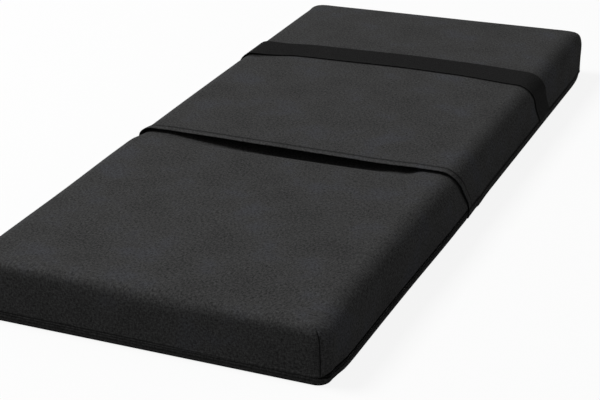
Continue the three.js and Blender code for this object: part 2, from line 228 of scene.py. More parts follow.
def unit(vectors):
    """The vectors at length 1."""
    size = np.linalg.norm(vectors, axis=-1, keepdims=True)
    return vectors / np.maximum(size, 1e-12)


# ---- how the soft parts lie ----


def gape(x):
    """Fullness of the gaping hem across the width: 1 - u^2 on the left and 1 - u^3 on the
    right, u being the way out to its end, and a slit's height on over both shoulders, higher
    where the right one starts."""
    out = (x - GAPE_X) / np.where(x < GAPE_X, GAPE_LEFT, GAPE_RIGHT)
    right = (0.67 - 0.43 * ramp(x, 0.312, 0.362)) * ramp(x, 0.2, 0.3)
    slit = np.maximum(right, 0.2 * ramp(-x, 0.3, 0.38)) * (1.0 - ramp(np.abs(x), 0.405, 0.45))
    return np.maximum(slit, 1.0 - np.where(x < GAPE_X, out ** 2, np.abs(out) ** 3))


def foot_spread(points):
    """How far the right side stands out near the floor: a little all along it and more round
    the sleeve's mouth, with both corners drawn in."""
    size = bpy.context.scene.mattress_sizes
    x, y, z = axes(points)
    low = 1.0 - 0.6 * ramp(z, 24 * MM, 90 * MM)
    at_foot = ramp(low, 0.4, 1.0)
    along = ramp(y, -0.985, -0.86) * (1.0 - ramp(y, 0.87, 0.945))
    swollen = size.spread * (1.0 + 1.6 * hump(y, -0.22, 0.24, 0.13) * at_foot)
    for height, middle, before, after in FOOT_SWELLS:
        swollen = swollen + height * hump(y, middle, before, after) * at_foot
    spread = ramp(x, 0.3, COVER_HIGH[0]) * (swollen * along * low)
    across = (x - COVER_HIGH[0]) ** 2 / 0.03 ** 2
    for depth, middle, width, start, end in FOOT_CORNERS:
        corner = depth * np.exp(-across - (y - middle) ** 2 / width ** 2)
        spread = spread - corner * (1.0 - ramp(z, start, end))
    return spread


def mouth_lean(z):
    """How far back the sleeve's mouth lies at height z: the full lean less a ramp up to none."""
    return MOUTH_LEAN * (1.0 - ramp(z, 25 * MM, COVER_HIGH[2]))


def settle(points, dished=1.0):
    """The mattress as it lies in its sleeve. Its top dips before the hem and rises again under
    the sleeve, its sides swell just before the hem, and both are drawn in past it. Along the
    right half of the near end the top has sagged. What lies inside the cover is dished a little
    more than the cover."""
    size = bpy.context.scene.mattress_sizes
    x, y, z = axes(points)
    before = MOUTH_Y - DISH_NEAR
    dip = ramp(y, before, MOUTH_Y) - ramp(y, MOUTH_Y, MOUTH_Y + DISH_FAR)
    upper = ramp(z, SPLIT_Z, LINER_HIGH[2])
    mouth = MOUTH_Y + mouth_lean(z)
    swelling = hump(y, mouth - SWELL_OFF, SWELL_NEAR, SWELL_FAR)
    tucked = ramp(y, mouth - 25 * MM, mouth + 5 * MM)
    high = ramp(z, SEAM_Z + 4 * MM, 70 * MM)
    side = (np.abs(x) / COVER_HIGH[0]) ** 4
    sideways = side * high * (size.swell * swelling * (1.0 - tucked) - size.tuck * tucked)
    crown = size.swell * 0.35 * swelling * (1.0 - tucked) * upper
    bare = 1.0 - ramp(y, before - 60 * MM, before)
    wave = np.sin(x * 11.0 + 0.7) * np.sin(y * 7.3 + x * 2.1) + 0.6 * np.sin(y * 17.0 - x * 5.0)
    moved = np.array(points, float)
    moved[..., 0] += np.sign(x) * sideways + foot_spread(points)
    moved[..., 2] += crown - dished * DISH_DEPTH * gape(x) * dip * upper
    moved[..., 2] += RIPPLE * wave * bare * upper
    sat_on = ramp(-y, 0.80, 0.95) * hump(x, 0.34, 0.18, 0.2)
    moved[..., 2] -= dished * SAG * sat_on * upper
    return moved


def pull_over(points):
    """The sleeve as it lies. Its hem is higher on the left than on the right, its left side is
    drawn in there, and the hem itself stands off the mattress round both shoulders."""
    size = bpy.context.scene.mattress_sizes
    x, y, z = axes(points)
    mouth = MOUTH_Y + mouth_lean(z)
    upper = ramp(z, SLEEVE_TOP - SHOULDER, SLEEVE_TOP - CLOTH)
    slant = np.maximum(MOUTH_LIFT - MOUTH_SLANT * x, -1.4 * MM)
    slant = slant + 2.5 * MM * hump(x, 0.355, 0.06, 0.06)
    lift = slant * (1.0 - np.minimum(np.abs(x) / 0.43, 1.0) ** 6) * upper
    lift = lift * bell(y - MOUTH_Y, LIFT_REACH)
    high = ramp(z, SEAM_Z + 4 * MM, 60 * MM)
    side = (np.abs(x) / SLEEVE_HIGH[0]) ** 8
    drawn_in = np.where(x < 0, size.tuck, 0.3 * size.tuck) * hump(y, mouth, 1.0, 190 * MM)
    flare = np.where(x > 0, 0.6, 1.7) * size.flare * bell(y - mouth, 24 * MM)
    moved = np.array(points, float)
    moved[..., 0] += np.sign(x) * side * high * (flare - drawn_in) + foot_spread(points)
    moved[..., 2] += lift + side * upper * flare * 0.8
    return moved


# ---- rounded slabs, as columns round an outline and rows up a profile ----


def corner_columns(middle):
    """Angles of one corner's columns, in degrees: even steps, and close ones at its seam. The
    seam lies SEAM_ANGLE from the long side's outward direction, nearer the short end."""
    even = middle + np.linspace(-45.0, 45.0, 10)
    side = 0.0 if math.cos(math.radians(middle)) > 0 else 180.0
    seam = side + math.copysign(SEAM_ANGLE, middle - side)
    beside = np.array([0.8, 1.7, 2.8, 4.2, 6.5])
    close = seam + np.concatenate([-beside[::-1], [0.0], beside])
    keep = even[(np.abs(even - seam) > 8.5) | (np.abs(np.abs(even - middle) - 45.0) < 1.0)]
    return np.sort(np.concatenate([keep, close]))


class Outline:
    """The columns round a rounded slab, anticlockwise from above. A column is at a station on a
    straight side, or at an angle on a corner. An open outline lacks the near end."""

    def __init__(self, low, high, ys, xs, is_open=False):
        self.half_x, self.near, self.far, self.wrap = high[0], low[1], high[1], not is_open
        right_corner, left_corner = corner_columns(-45.0), corner_columns(225.0)
        parts = [
            (1, 0, np.zeros(len(ys)), ys),
            (1, 1, corner_columns(45.0), None),
            (0, 1, np.full(len(xs), 90.0), xs[::-1]),
            (-1, 1, corner_columns(135.0), None),
            (-1, 0, np.full(len(ys), 180.0), ys[::-1]),
        ]
        if not is_open:
            parts = [(1, -1, right_corner, None), *parts, (-1, -1, left_corner, None),
                     (0, -1, np.full(len(xs), 270.0), xs)]
        count = [len(angles) for _, _, angles, _ in parts]
        self.sx = np.repeat([p[0] for p in parts], count)
        self.sy = np.repeat([p[1] for p in parts], count)
        self.angle = np.concatenate([p[2] for p in parts])
        self.station = np.concatenate(
            [np.zeros(n) if p[3] is None else p[3] for p, n in zip(parts, count)])
        self.is_corner = (self.sx != 0) & (self.sy != 0)
        self.side = np.where(self.sx > 0, 0.0, 180.0)

    def at(self, inset, z, carry=None):
        """Where the columns stand on rings drawn in by inset: the corner's middle, and from it
        one radius out at the column's angle. Also that angle, that middle and the radius."""
        inset, z = np.atleast_1d(inset)[:, None], np.atleast_1d(z)[:, None]
        half = self.half_x - inset
        radius = np.minimum(CORNER, half)
        near, far = self.near + inset + radius, self.far - inset - radius
        station = self.station[None, :] + (0.0 if carry is None else carry(self.station, z))
        on_side, on_end = self.sy == 0, self.sx == 0
        lowest = near if self.wrap else -np.inf
        end_y = np.where(self.sy > 0, far, near)
        middle_x = np.where(on_end, np.clip(station, radius - half, half - radius),
                            self.sx * (half - radius))
        middle_y = np.where(on_side, np.clip(station, lowest, far), end_y)
        angle = np.radians(self.angle[None, :] + self.seam_lean(z))
        x = middle_x + radius * np.cos(angle)
        y = middle_y + radius * np.sin(angle)
        return x, y, angle, middle_x, middle_y, radius

    def seam_lean(self, z):
        """Corner seams lean towards the short end as they rise, by half a degree each way from
        half height, fading to nothing where the corner ends."""
        off = np.abs(self.angle - self.side)
        fade = np.where(off < SEAM_ANGLE, off / SEAM_ANGLE, (90.0 - off) / (90.0 - SEAM_ANGLE))
        rise = np.clip((z - 65 * MM) / (55 * MM), -1.0, 1.0)
        turn = np.sign(self.angle - self.side) * 0.5 * rise
        return np.where(self.is_corner, turn * np.clip(fade, 0.0, 1.0), 0.0)

    def seam_distance(self, z):
        """How far each column stands from its corner's seam, along the corner, in metres."""
        seam = self.side + self.sx * self.sy * SEAM_ANGLE
        near_seam = np.radians(np.abs(self.angle - seam)) * CORNER
        return np.where(self.is_corner, near_seam, 1.0) + 0.0 * z

    def panels(self):
        """Which panel the cell after each column belongs to: 0 right, 1 far, 2 left, 3 near."""
        after = np.append(self.angle[1:], self.angle[0] + 360.0)
        middle = (self.angle + after) / 2
        found = np.full(len(middle), 3)
        found[np.abs(middle) < SEAM_ANGLE] = 0
        found[(middle > SEAM_ANGLE) & (middle < 180.0 - SEAM_ANGLE)] = 1
        found[np.abs(middle - 180.0) < SEAM_ANGLE] = 2
        return found if self.wrap else found[:-1]

    def loft(self, profile, carry=None):
        """Points, normals and each panel's cloth coordinates for rows up a profile of
        [inset, z]. Cloth coordinates are x and y on the flat, carried on over the bend by the
        length along the profile, and round a corner by the length along its arc."""
        inset, z = profile[:, 0], profile[:, 1]
        x, y, angle, middle_x, middle_y, radius = self.at(inset, z, carry)
        points = stacked(x, y, z[:, None])
        across, upwards = profile_normals(profile)[..., None]
        normals = stacked(np.cos(angle) * across, np.sin(angle) * across, upwards)
        along = lengths(profile)
        bend = SHOULDER if z[-1] > SPLIT_Z else FOOT
        flat = inset >= bend - 1e-9
        inwards = np.flatnonzero(flat)[np.argsort(inset[flat])]
        edge = np.interp(bend, inset[inwards], along[inwards])
        down = np.where(flat, 0.0, np.abs(along - edge))[:, None]
        blend = np.clip(down / (bend * math.pi / 2), 0.0, 1.0)
        flat_x, flat_y = self.half_x - bend, self.far - bend
        is_flat = flat[:, None] & np.ones_like(x, bool)
        maps = []
        for panel in range(4):
            sign = 1.0 if panel < 2 else -1.0
            off = np.remainder(angle - math.pi / 2 * panel + math.pi, 2 * math.pi) - math.pi
            turned = sign * radius * off * (1.0 if panel in (0, 2) else -1.0)
            if panel in (0, 2):
                run = y + (middle_y + turned - y) * blend
                pair = (sign * (flat_x + down) + 0.0 * y, run)
            else:
                run = x + (middle_x + turned - x) * blend
                pair = (run, sign * (flat_y + down) + 0.0 * x)
            maps.append(stacked(np.where(is_flat, x, pair[0]), np.where(is_flat, y, pair[1])))
        return points, normals, np.stack(maps)


def profile_normals(profile):
    """The outward and the upward part of the normal at each row of a profile."""
    tangent = np.gradient(profile, axis=0)
    return unit(stacked(tangent[:, 1], tangent[:, 0])).T


def shoulder_profile(half_x, rows, top, step, arc):
    """[inset, z] up the wall by the given rows, round the shoulder and in over the top."""
    turn = np.linspace(0.0, math.pi / 2, arc + 1)
    bend = stacked(SHOULDER * (1 - np.cos(turn)), top - SHOULDER * (1 - np.sin(turn)))
    across = np.linspace(SHOULDER, half_x, max(3, round((half_x - SHOULDER) / step)))[1:]
    rows = rows[rows < top - SHOULDER - 1 * MM]
    return np.concatenate([stacked(0.0, rows), bend, stacked(across, top)])


def foot_profile(half_x, rows):
    """[inset, z] from the middle of the floor outwards, round the foot and up by the rows."""
    across = np.linspace(half_x, FOOT, max(3, round(half_x / (30 * MM))))[:-1]
    turn = np.linspace(math.pi / 2, 0.0, 5)
    bend = stacked(FOOT * (1 - np.cos(turn)), FOOT * (1 - np.sin(turn)))
    return np.concatenate([stacked(across, 0.0), bend, stacked(0.0, rows)])


# ---- meshes ----


def cells(rows, columns, wrap):
    """The four corners of every cell of a grid, anticlockwise seen from outside."""
    v, u = np.meshgrid(np.arange(rows - 1), np.arange(columns - (not wrap)), indexing="ij")
    w = (u + 1) % columns
    here, above = v * columns, (v + 1) * columns
    return stacked(here + u, here + w, above + w, above + u).reshape(-1, 4)


def weld(quads, key):
    """Quads on points that share a place, told by key, are joined there. A quad that has lost a
    side becomes a triangle, with its last corner doubled, and one that has lost more goes.
    Gives the quads, which old corner each new one is, and which old quad each new one is."""
    place = np.round(key, 7) + 0.0
    _, first, same = np.unique(place, axis=0, return_index=True, return_inverse=True)
    joined = first[same.ravel()][quads]
    lost = joined == np.roll(joined, -1, axis=1)
    kept, chosen, places = [], [], []
    for k in (None, 0, 1, 2, 3):
        goes = lost.sum(1) == 0 if k is None else lost[:, k] & (lost.sum(1) == 1)
        order = [0, 1, 2, 3] if k is None else np.array([k + 1, k + 2, k + 3, k + 3]) % 4
        rows = np.flatnonzero(goes)
        kept.append(joined[rows][:, order])
        chosen.append(np.tile(order, (len(rows), 1)))
        places.append(rows)
    return np.concatenate(kept), np.concatenate(chosen), np.concatenate(places)


def rims(quads):
    """The directed edges of the quads that no other quad uses the other way round."""
    edges = np.concatenate([quads[:, [k, (k + 1) % 4]] for k in range(4)])
    edges = edges[edges[:, 0] != edges[:, 1]]
    count = int(edges.max()) + 1
    forward = edges[:, 0] * count + edges[:, 1]
    backward = edges[:, 1] * count + edges[:, 0]
    return edges[~np.isin(forward, backward)]


def rim_cells(edges, start, end):
    """Cells between a rim and its copy, from one offset of the points to another."""
    return stacked(edges[:, 1] + start, edges[:, 0] + start, edges[:, 0] + end, edges[:, 1] + end)


def put(name, points, quads, finish, uv=None, marks=None):
    """One mesh object. A quad whose last corner is doubled is a triangle. uv is given for each
    corner of each quad, and marks are values for each point, by name."""
    used, renumbered = np.unique(quads, return_inverse=True)
    quads = renumbered.reshape(quads.shape)
    is_triangle = quads[:, 2] == quads[:, 3]
    faces = quads[~is_triangle].tolist() + quads[is_triangle][:, :3].tolist()
    mesh = bpy.data.meshes.new(name)
    mesh.from_pydata(points[used].tolist(), [], faces)
    if uv is not None:
        four, three = uv[~is_triangle].reshape(-1, 2), uv[is_triangle][:, :3].reshape(-1, 2)
        layer = mesh.uv_layers.new(name="cloth")
        layer.data.foreach_set("uv", np.concatenate([four, three]).astype(np.float32).ravel())
    for mark, values in (marks or {}).items():
        attribute = mesh.attributes.new(mark, "FLOAT", "POINT")
        attribute.data.foreach_set("value", np.asarray(values, np.float32)[used])
    mesh.polygons.foreach_set("use_smooth", np.ones(len(faces), bool))
    mesh.set_sharp_from_angle(angle=math.radians(SHARP_ANGLE))
    mesh.materials.append(finish)
    mesh.update()
    made = bpy.data.objects.new(name, mesh)
    bpy.context.scene.collection.objects.link(made)
    return made


def facing_out(points, quads):
    """The quads, turned round if together they enclose a volume below nothing. A doubled last
    corner stays last."""
    a, b, c, d = (points[quads[:, k]] for k in range(4))
    volume = (a * np.cross(b, c)).sum() + (a * np.cross(c, d)).sum()
    return quads if volume > 0 else quads[:, [1, 0, 3, 2]]


def skin(name, outline, profile, thickness, finish, shape, carry=None, marks=None, keep=None):
    """Cloth on an outline and a profile. shape(points, normals) gives the outer and the inner
    face, thickness apart by default; the two are joined all round the rim, and round every
    hole that keep leaves out. Without a thickness the profile itself has to close."""
    points, normals, maps = outline.loft(profile, carry)
    rows, columns = points.shape[:2]
    quads = cells(rows, columns, outline.wrap)
    panel = np.tile(outline.panels(), rows - 1)
    if keep is not None:
        chosen = keep(points).ravel()
        quads, panel = quads[chosen], panel[chosen]
    corner_uv = maps.reshape(4, -1, 2)[panel[:, None], quads]
    joined, order, places = weld(quads, points.reshape(-1, 3))
    uv = np.take_along_axis(corner_uv[places], order[:, :, None], 1)
    outer, inner = shape(points, normals)
    flat = outer.reshape(-1, 3)
    marks = {} if marks is None else {k: v.ravel() for k, v in marks(points).items()}
    if thickness:
        edges = rims(joined)
        count = len(flat)
        at_edge = np.zeros((count, 2))
        at_edge[joined.ravel()] = uv.reshape(-1, 2)
        rim_uv = at_edge[rim_cells(edges, 0, 0)]
        back = joined[:, [1, 0, 3, 2]] + count
        back_uv = uv[:, [1, 0, 3, 2]]
        three = joined[:, 2] == joined[:, 3]
        back[three] = joined[three][:, [1, 0, 2, 2]] + count
        back_uv[three] = uv[three][:, [1, 0, 2, 2]]
        flat = np.concatenate([flat, inner.reshape(-1, 3)])
        joined = np.concatenate([joined, back, rim_cells(edges, 0, count)])
        uv = np.concatenate([uv, back_uv, rim_uv])
        marks = {k: np.concatenate([v, v]) for k, v in marks.items()}
    return put(name, flat, joined, finish, uv, marks), outer


def sweep(path, outward, section, taper=None):
    """A section of [outward, up] points carried along a path, its ends drawn to a point each.
    Gives the points and the quads."""
    out = outward[:, None, :] * section[None, :, 0, None]
    up = UP * section[None, :, 1, None]
    body = path[:, None, :] + (out + up) * (1.0 if taper is None else taper[:, None, None])
    middle = section.mean(0)
    ends = path[[0, -1]] + outward[[0, -1]] * middle[0] + UP * middle[1]
    rows, columns = body.shape[:2]
    grid = np.concatenate([np.repeat(ends[:1, None], columns, 1), body,
                           np.repeat(ends[1:, None], columns, 1)]).reshape(-1, 3)
    quads, _, _ = weld(cells(rows + 2, columns, True), grid)
    return grid, facing_out(grid, quads)


def copies(points, quads, places, along, side, up):
    """One small shape set down many times, in the frame of each place's three directions."""
    turn = np.stack([along, side, up], 1)
    every = places[:, None, :] + np.einsum("pk,nkc->npc", points, turn)
    offsets = (np.arange(len(places)) * len(points))[:, None, None]
    return every.reshape(-1, 3), (quads[None] + offsets).reshape(-1, 4)


def join(*parts):
    """Several sets of points and quads as one."""
    counts = np.cumsum([0] + [len(points) for points, _ in parts[:-1]])
    return (np.concatenate([points for points, _ in parts]),
            np.concatenate([quads + n for (_, quads), n in zip(parts, counts)]))


def oval(half_out, half_up, sides, power=1.0):
    """Points of [outward, up] round a superellipse: each half axis times the angle's cosine or
    sine to that power, with its sign kept."""
    turn = np.arange(sides) * 2 * math.pi / sides
    part = stacked(np.cos(turn), np.sin(turn))
    return [half_out, half_up] * (np.sign(part) * np.abs(part) ** power)


def pillow(length, width, height, sides, rows):
    """A small rounded bar along X: ovals that swell as the sine of the way along it."""
    turn = np.linspace(0.12, math.pi - 0.12, rows)
    ring = oval(width / 2, height / 2, sides)
    swell = np.sin(turn) ** 0.6
    path = stacked(-length / 2 * np.cos(turn), 0.0, 0.0)
    return sweep(path, np.tile([0.0, 1.0, 0.0], (rows, 1)), ring, swell)


def stitches(path, normals, stitch, sink=0.1):
    """A run of stitches on a path over cloth: one small thread bar at each pitch, sunk by a
    share of its height."""
    pitch, length, width, height = stitch
    places, over = resample(path, pitch, normals)
    along = unit(np.gradient(places, axis=0))
    over = unit(over - (over * along).sum(-1, keepdims=True) * along)
    bar, quads = pillow(length, width, height, 6, 4)
    return copies(bar, quads, places - over * height * sink, along, np.cross(over, along), over)


# ---- shader maths and finishes ----


class Level:
    """A shader value. Arithmetic on it adds Math nodes to its node tree."""

    def __init__(self, nodes, socket):
        self.nodes, self.socket = nodes, socket

    def _math(self, operation, *values):
        return self.nodes.node("Math", {"operation": operation}, dict(enumerate(values)))

    def __add__(self, other):
        return self._math("ADD", self, other)

    def __sub__(self, other):
        return self._math("SUBTRACT", self, other)

    def __rsub__(self, other):
        return self._math("SUBTRACT", other, self)

    def __mul__(self, other):
        return self._math("MULTIPLY", self, other)

    def __abs__(self):
        return self._math("ABSOLUTE", self)

    __radd__, __rmul__ = __add__, __mul__

    def sine(self):
        """The value's sine."""
        return self._math("SINE", self)

    def between(self, start, end):
        """0 at start, 1 at end, smoothed and held outside."""
        return self.nodes.node("MapRange", {"interpolation_type": "SMOOTHSTEP"},
                               {"Value": self, "From Min": start, "From Max": end})


def spelled(word):
    """A shader socket's name from a plain word."""
    return word.replace("_", " ").title().replace("Ior", "IOR")


class Nodes:
    """A node tree, with one method that adds every kind of node but the shader."""

    def __init__(self, tree):
        self.tree = tree

    def node(self, kind, settings=None, sockets=None, output=0):
        """One node of a kind. Its settings are set first, and then its sockets, each to a value
        or a link. Gives one of its outputs."""
        made = self.tree.nodes.new("ShaderNode" + kind)
        for setting, value in (settings or {}).items():
            setattr(made, setting, value)
        for socket, value in (sockets or {}).items():
            self.set(made.inputs[socket], value)
        return Level(self, made.outputs[output])

    def set(self, socket, value):
        """A socket's link, or its plain value."""
        if isinstance(value, Level):
            self.tree.links.new(value.socket, socket)
        elif socket.type == "RGBA":
            socket.default_value = (*value, 1.0)
        else:
            socket.default_value = value

    def seen_directly(self):
        """1 for what is seen by the camera, in a mirror or through glass, 0 for light."""
        seen = self.node("LightPath", None, None, "Is Camera Ray")
        for output in ("Is Glossy Ray", "Is Transmission Ray"):
            seen = seen + self.node("LightPath", None, None, output)
        return seen


class Finish(Nodes):
    """A material of one Principled shader, and the nodes that feed it."""

    def __init__(self, name, **constant):
        self.material = bpy.data.materials.new(name + "_finish")
        self.material.use_nodes = True
        super().__init__(self.material.node_tree)
        self.tree.nodes.clear()
        self.shader = self.tree.nodes.new("ShaderNodeBsdfPrincipled")
        output = self.tree.nodes.new("ShaderNodeOutputMaterial")
        self.tree.links.new(self.shader.outputs[0], output.inputs["Surface"])
        for socket, value in constant.items():
            self.shader.inputs[spelled(socket)].default_value = value

    def feed(self, **sockets):
        """Links what varies over the surface to the shader's sockets. Gives the material."""
        for socket, value in sockets.items():
            self.set(self.shader.inputs[spelled(socket)], value)
        return self.material

    def cloth(self):
        """The piece's cloth coordinates in metres: across, along, and both as one place."""
        place = self.node("UVMap", {"uv_map": "cloth"})
        across = self.node("SeparateXYZ", None, {0: place}, 0)
        along = self.node("SeparateXYZ", None, {0: place}, 1)
        return across, along, place

    def mark(self, name):
        """A value that the piece's points carry."""
        return self.node("Attribute", {"attribute_name": name}, None, "Fac")

    def own_place(self):
        """The place in the piece's own axes."""
        return self.node("TexCoord", None, None, "Object")

    def stretched(self, place, scale):
        """A place scaled by its own amount on each axis."""
        return self.node("Mapping", None, {"Vector": place, "Scale": scale})

    def noise(self, place, scale, detail=2.0, roughness=0.5):
        """Soft noise with so many patches to the metre."""
        return self.node("TexNoise", None, {"Vector": place, "Scale": scale, "Detail": detail,
                                            "Roughness": roughness})

    def slubs(self, place, wide, long, detail=2.0):
        """Noise drawn out into slubs, of a width across and a length along."""
        return self.noise(self.stretched(place, (1 / wide, 1 / long, 1.0)), 1.0, detail)

    def ribs(self, run, width):
        """Rounded ribs, each of one width: the size of the sine of the run across them."""
        return abs((run * (math.pi / width)).sine())

    def blend(self, share, first, second):
        """From the first colour to the second by a share."""
        return self.node("Mix", {"data_type": "RGBA"}, {0: share, 6: first, 7: second}, 2)

    def bump(self, height, distance, strength, **under):
        """A normal bent by a height, over the normal under it if one is given."""
        sockets = {"Height": height, "Distance": distance, "Strength": strength}
        return self.node("Bump", None, {**sockets, **under})


def melange(name, dark, light, thread=1.1 * MM, patch_tint=0.0):
    """Plain woven cloth of mixed yarns: warp and weft threads one over another by turns, each
    with slubs of its own, and slow patches that are lighter and slightly blue. Where the points
    carry painted shade, the colour darkens nearly to black."""
    finish = Finish(name, roughness=0.9, specular_ior_level=0.02)
    across, along, place = finish.cloth()
    warp = finish.slubs(place, 1.3 * MM, 11 * MM)
    weft = finish.slubs(place, 9 * MM, 1.3 * MM)
    turn = math.pi / thread
    over = (across * turn).sine() * (along * turn).sine()
    is_warp = (over * 4.0).between(-0.6, 0.6)
    yarn = warp * is_warp + weft * (1.0 - is_warp)
    patch = finish.noise(place, 7.0, 3.0, 0.6)
    fleck = finish.noise(place, 1 / (5.5 * MM), 2.0, 0.7)
    share = (yarn - 0.5) * 2.0 + (fleck - 0.5) * 1.3 + (patch - 0.5) * 0.45 + 0.5
    blue = (light[0] * 0.96, light[1] * 0.98, light[2] * 1.07)
    tinted = finish.blend(patch.between(0.5, 0.68) * patch_tint, light, blue)
    weave = finish.ribs(across, thread) * 0.5 + finish.ribs(along, thread) * 0.5
    height = weave + yarn * 0.8
    rise = finish.bump(height, 0.35 * MM, 0.6)
    slow = finish.bump(finish.noise(place, 34.0, 2.0), 1.2 * MM, 0.25, Normal=rise)
    colour = finish.blend(share.between(0.05, 0.95), dark, tinted)
    # Painted shade: the mark darkens the cloth in seams, sewn grooves, by the strap's edge and
    # along the foot, where shadow falls.
    painted_shade_colour = finish.blend(finish.mark("crease") * 0.93, colour, tuple(c * 0.2 for c in dark))
    return finish.feed(base_color=painted_shade_colour, normal=slow)


def webbing(name, dark, light, rib=3.5 * MM, depth=0.5 * MM, sheen=0.02):
    """Woven band: ribs along its length, and fine picks across each rib, with painted shade
    between the ribs and the picks.
    """
    finish = Finish(name, roughness=0.85, specular_ior_level=0.02, sheen_weight=sheen)
    across, along, place = finish.cloth()
    wave = finish.ribs(across, rib)
    pick = finish.ribs(along, 1.0 * MM)
    grain = finish.slubs(place, 2 * MM, 9 * MM, 3.0)
    share = wave * 0.55 + pick * 0.2 + (grain - 0.5) * 0.8
    height = wave + pick * 0.35
    # Painted shade: lighter on the crests of the ribs and picks, darker between them, with random
    # grain.
    return finish.feed(base_color=finish.blend(share.between(0.0, 1.0), dark, light),
                       normal=finish.bump(height, depth, 0.7))


def thread_finish(name, colour):
    """Sewing thread and zip teeth: slightly shiny, with a fine grain."""
    finish = Finish(name, roughness=0.6, specular_ior_level=0.05)
    grain = finish.noise(finish.own_place(), 900.0)
    return finish.feed(base_color=finish.blend(grain, colour, tuple(c * 1.7 for c in colour)))


def enamel(name, colour):
    """Painted metal, with fine scratches that catch more light."""
    finish = Finish(name, metallic=0.6, specular_ior_level=0.5)
    place = finish.own_place()
    wear = finish.noise(finish.stretched(place, (150.0, 900.0, 900.0)), 1.0, 4.0)
    return finish.feed(base_color=finish.blend(wear.between(0.45, 0.8), colour, (0.09, 0.09, 0.1)),
                       roughness=wear * 0.25 + 0.25)


def foam(name, colour, deep, cell):
    """Open-cell foam: small uneven pits, with painted shade inside them."""
    finish = Finish(name, roughness=0.95, specular_ior_level=0.2, subsurface_weight=0.1,
                    subsurface_scale=4 * MM)
    place = finish.own_place()
    pits = finish.node("TexVoronoi", None, {"Vector": place, "Scale": 1.0 / cell})
    wide = finish.noise(place, 18.0, 3.0)
    share = pits.between(0.05, 0.75) * 0.7 + wide * 0.3
    # Painted shade: the colour darkens towards the middle of each pit, and varies at random with
    # the wide noise.
    return finish.feed(base_color=finish.blend(share, deep, colour),
                       normal=finish.bump(pits, cell * 0.5, 0.5))


def knit(name, colour, deep):
    """Fine jersey: columns of small loops, with painted shade between them."""
    finish = Finish(name, roughness=0.9, specular_ior_level=0.2, sheen_weight=0.05)
    across, along, place = finish.cloth()
    column = finish.ribs(across, 1.6 * MM)
    course = abs((along * (math.pi / (1.2 * MM)) + column * 1.2).sine())
    height = column * course
    grain = finish.noise(place, 60.0, 3.0)
    # Painted shade: half of the colour darkens where the loops are low, the other half varies at
    # random.
    return finish.feed(base_color=finish.blend(height * 0.5 + grain * 0.5, deep, colour),
                       normal=finish.bump(height, 0.4 * MM, 0.6))


def finishes():
    """Every finish of the mattress, made once and found again by name."""
    size = bpy.context.scene.mattress_sizes

    def scaled(by, colour=size.cloth_colour):
        return tuple(part * by for part in colour)

    makers = {
        "cloth": lambda: melange("cloth", scaled(0.42), scaled(1.62), patch_tint=1.0),
        "base_cloth": lambda: melange("base_cloth", scaled(0.34), scaled(1.25), thread=1.4 * MM),
        "binding": lambda: webbing("binding", scaled(0.06), scaled(0.2), 1.2 * MM, 0.2 * MM),
        "strap": lambda: webbing("strap", scaled(0.6, size.strap_colour),
                                 scaled(3.0, size.strap_colour)),
        "tape": lambda: webbing("tape", scaled(0.012), scaled(0.04), 1.1 * MM, 0.15 * MM, 0.0),
        "coil": lambda: thread_finish("coil", scaled(0.03)),
        "thread": lambda: thread_finish("thread", scaled(0.3)),
        "metal": lambda: enamel("metal", (0.02, 0.02, 0.022)),
        "memory": lambda: foam("memory", (0.86, 0.82, 0.7), (0.66, 0.6, 0.46), 0.9 * MM),
        "support": lambda: foam("support", (0.8, 0.82, 0.84), (0.52, 0.55, 0.58), 1.5 * MM),
        "liner": lambda: knit("liner", (0.82, 0.81, 0.77), (0.6, 0.59, 0.55)),
    }
    return {name: bpy.data.materials.get(name + "_finish") or make()
            for name, make in makers.items()}


# ---- pieces ----


def gather(*runs):
    """Stations from runs of (start, end, step), each end met exactly."""
    found = [np.linspace(a, b, max(2, round(abs(b - a) / step) + 1)) for a, b, step in runs]
    return np.unique(np.round(np.concatenate(found), 7))


def over_end(half_x, step):
    """Stations along a short end, from corner to corner."""
    reach = round(half_x - CORNER, 4)
    return gather((-reach, reach, step))


def settled(made, body, slot):
    """Hands a finished piece to the frame."""
    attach(made, body)
    return made


def sewing(name, runs, paint, body):
    """Runs of stitches, as one piece of thread."""
    thread = put(name, *join(*runs), paint["thread"])
    return settled(thread, body, "binding_tape")


def half_surface(made):
    """Half of a closed mesh's surface, which is the area of the cloth it is made of."""
    areas = np.empty(len(made.data.polygons))
    made.data.polygons.foreach_get("area", areas)
    return float(areas.sum()) / 2


def seam_fade(z, start):
    """1 along the corner seams, fading out at their start and at their top."""
    return ramp(z, start, start + 4 * MM) * (1.0 - ramp(z, SEAM_TOP - 6 * MM, SEAM_TOP + 4 * MM))


def corner_seam(outline, points, start):
    """How far each point stands out by its corner's seam: a narrow groove between two soft
    rolls, and short puckers that run into it."""
    z = points[..., 2]
    off = outline.seam_distance(z)
    groove = -1.3 * MM * bell(off, 1.1 * MM)
    roll = 0.55 * MM * bell(off - 3.2 * MM, 1.7 * MM)
    pucker = 0.3 * MM * np.sin(z * 2 * math.pi / (13 * MM)) * bell(off, 5 * MM)
    return (groove + roll + pucker) * seam_fade(z, start)


def seam_shade_mark(outline, points, start):
    """Painted shade along a corner's seam: 1 on the seam, fading beside it and towards its ends.
    """
    z = points[..., 2]
    return bell(outline.seam_distance(z), 1.2 * MM) * seam_fade(z, start)


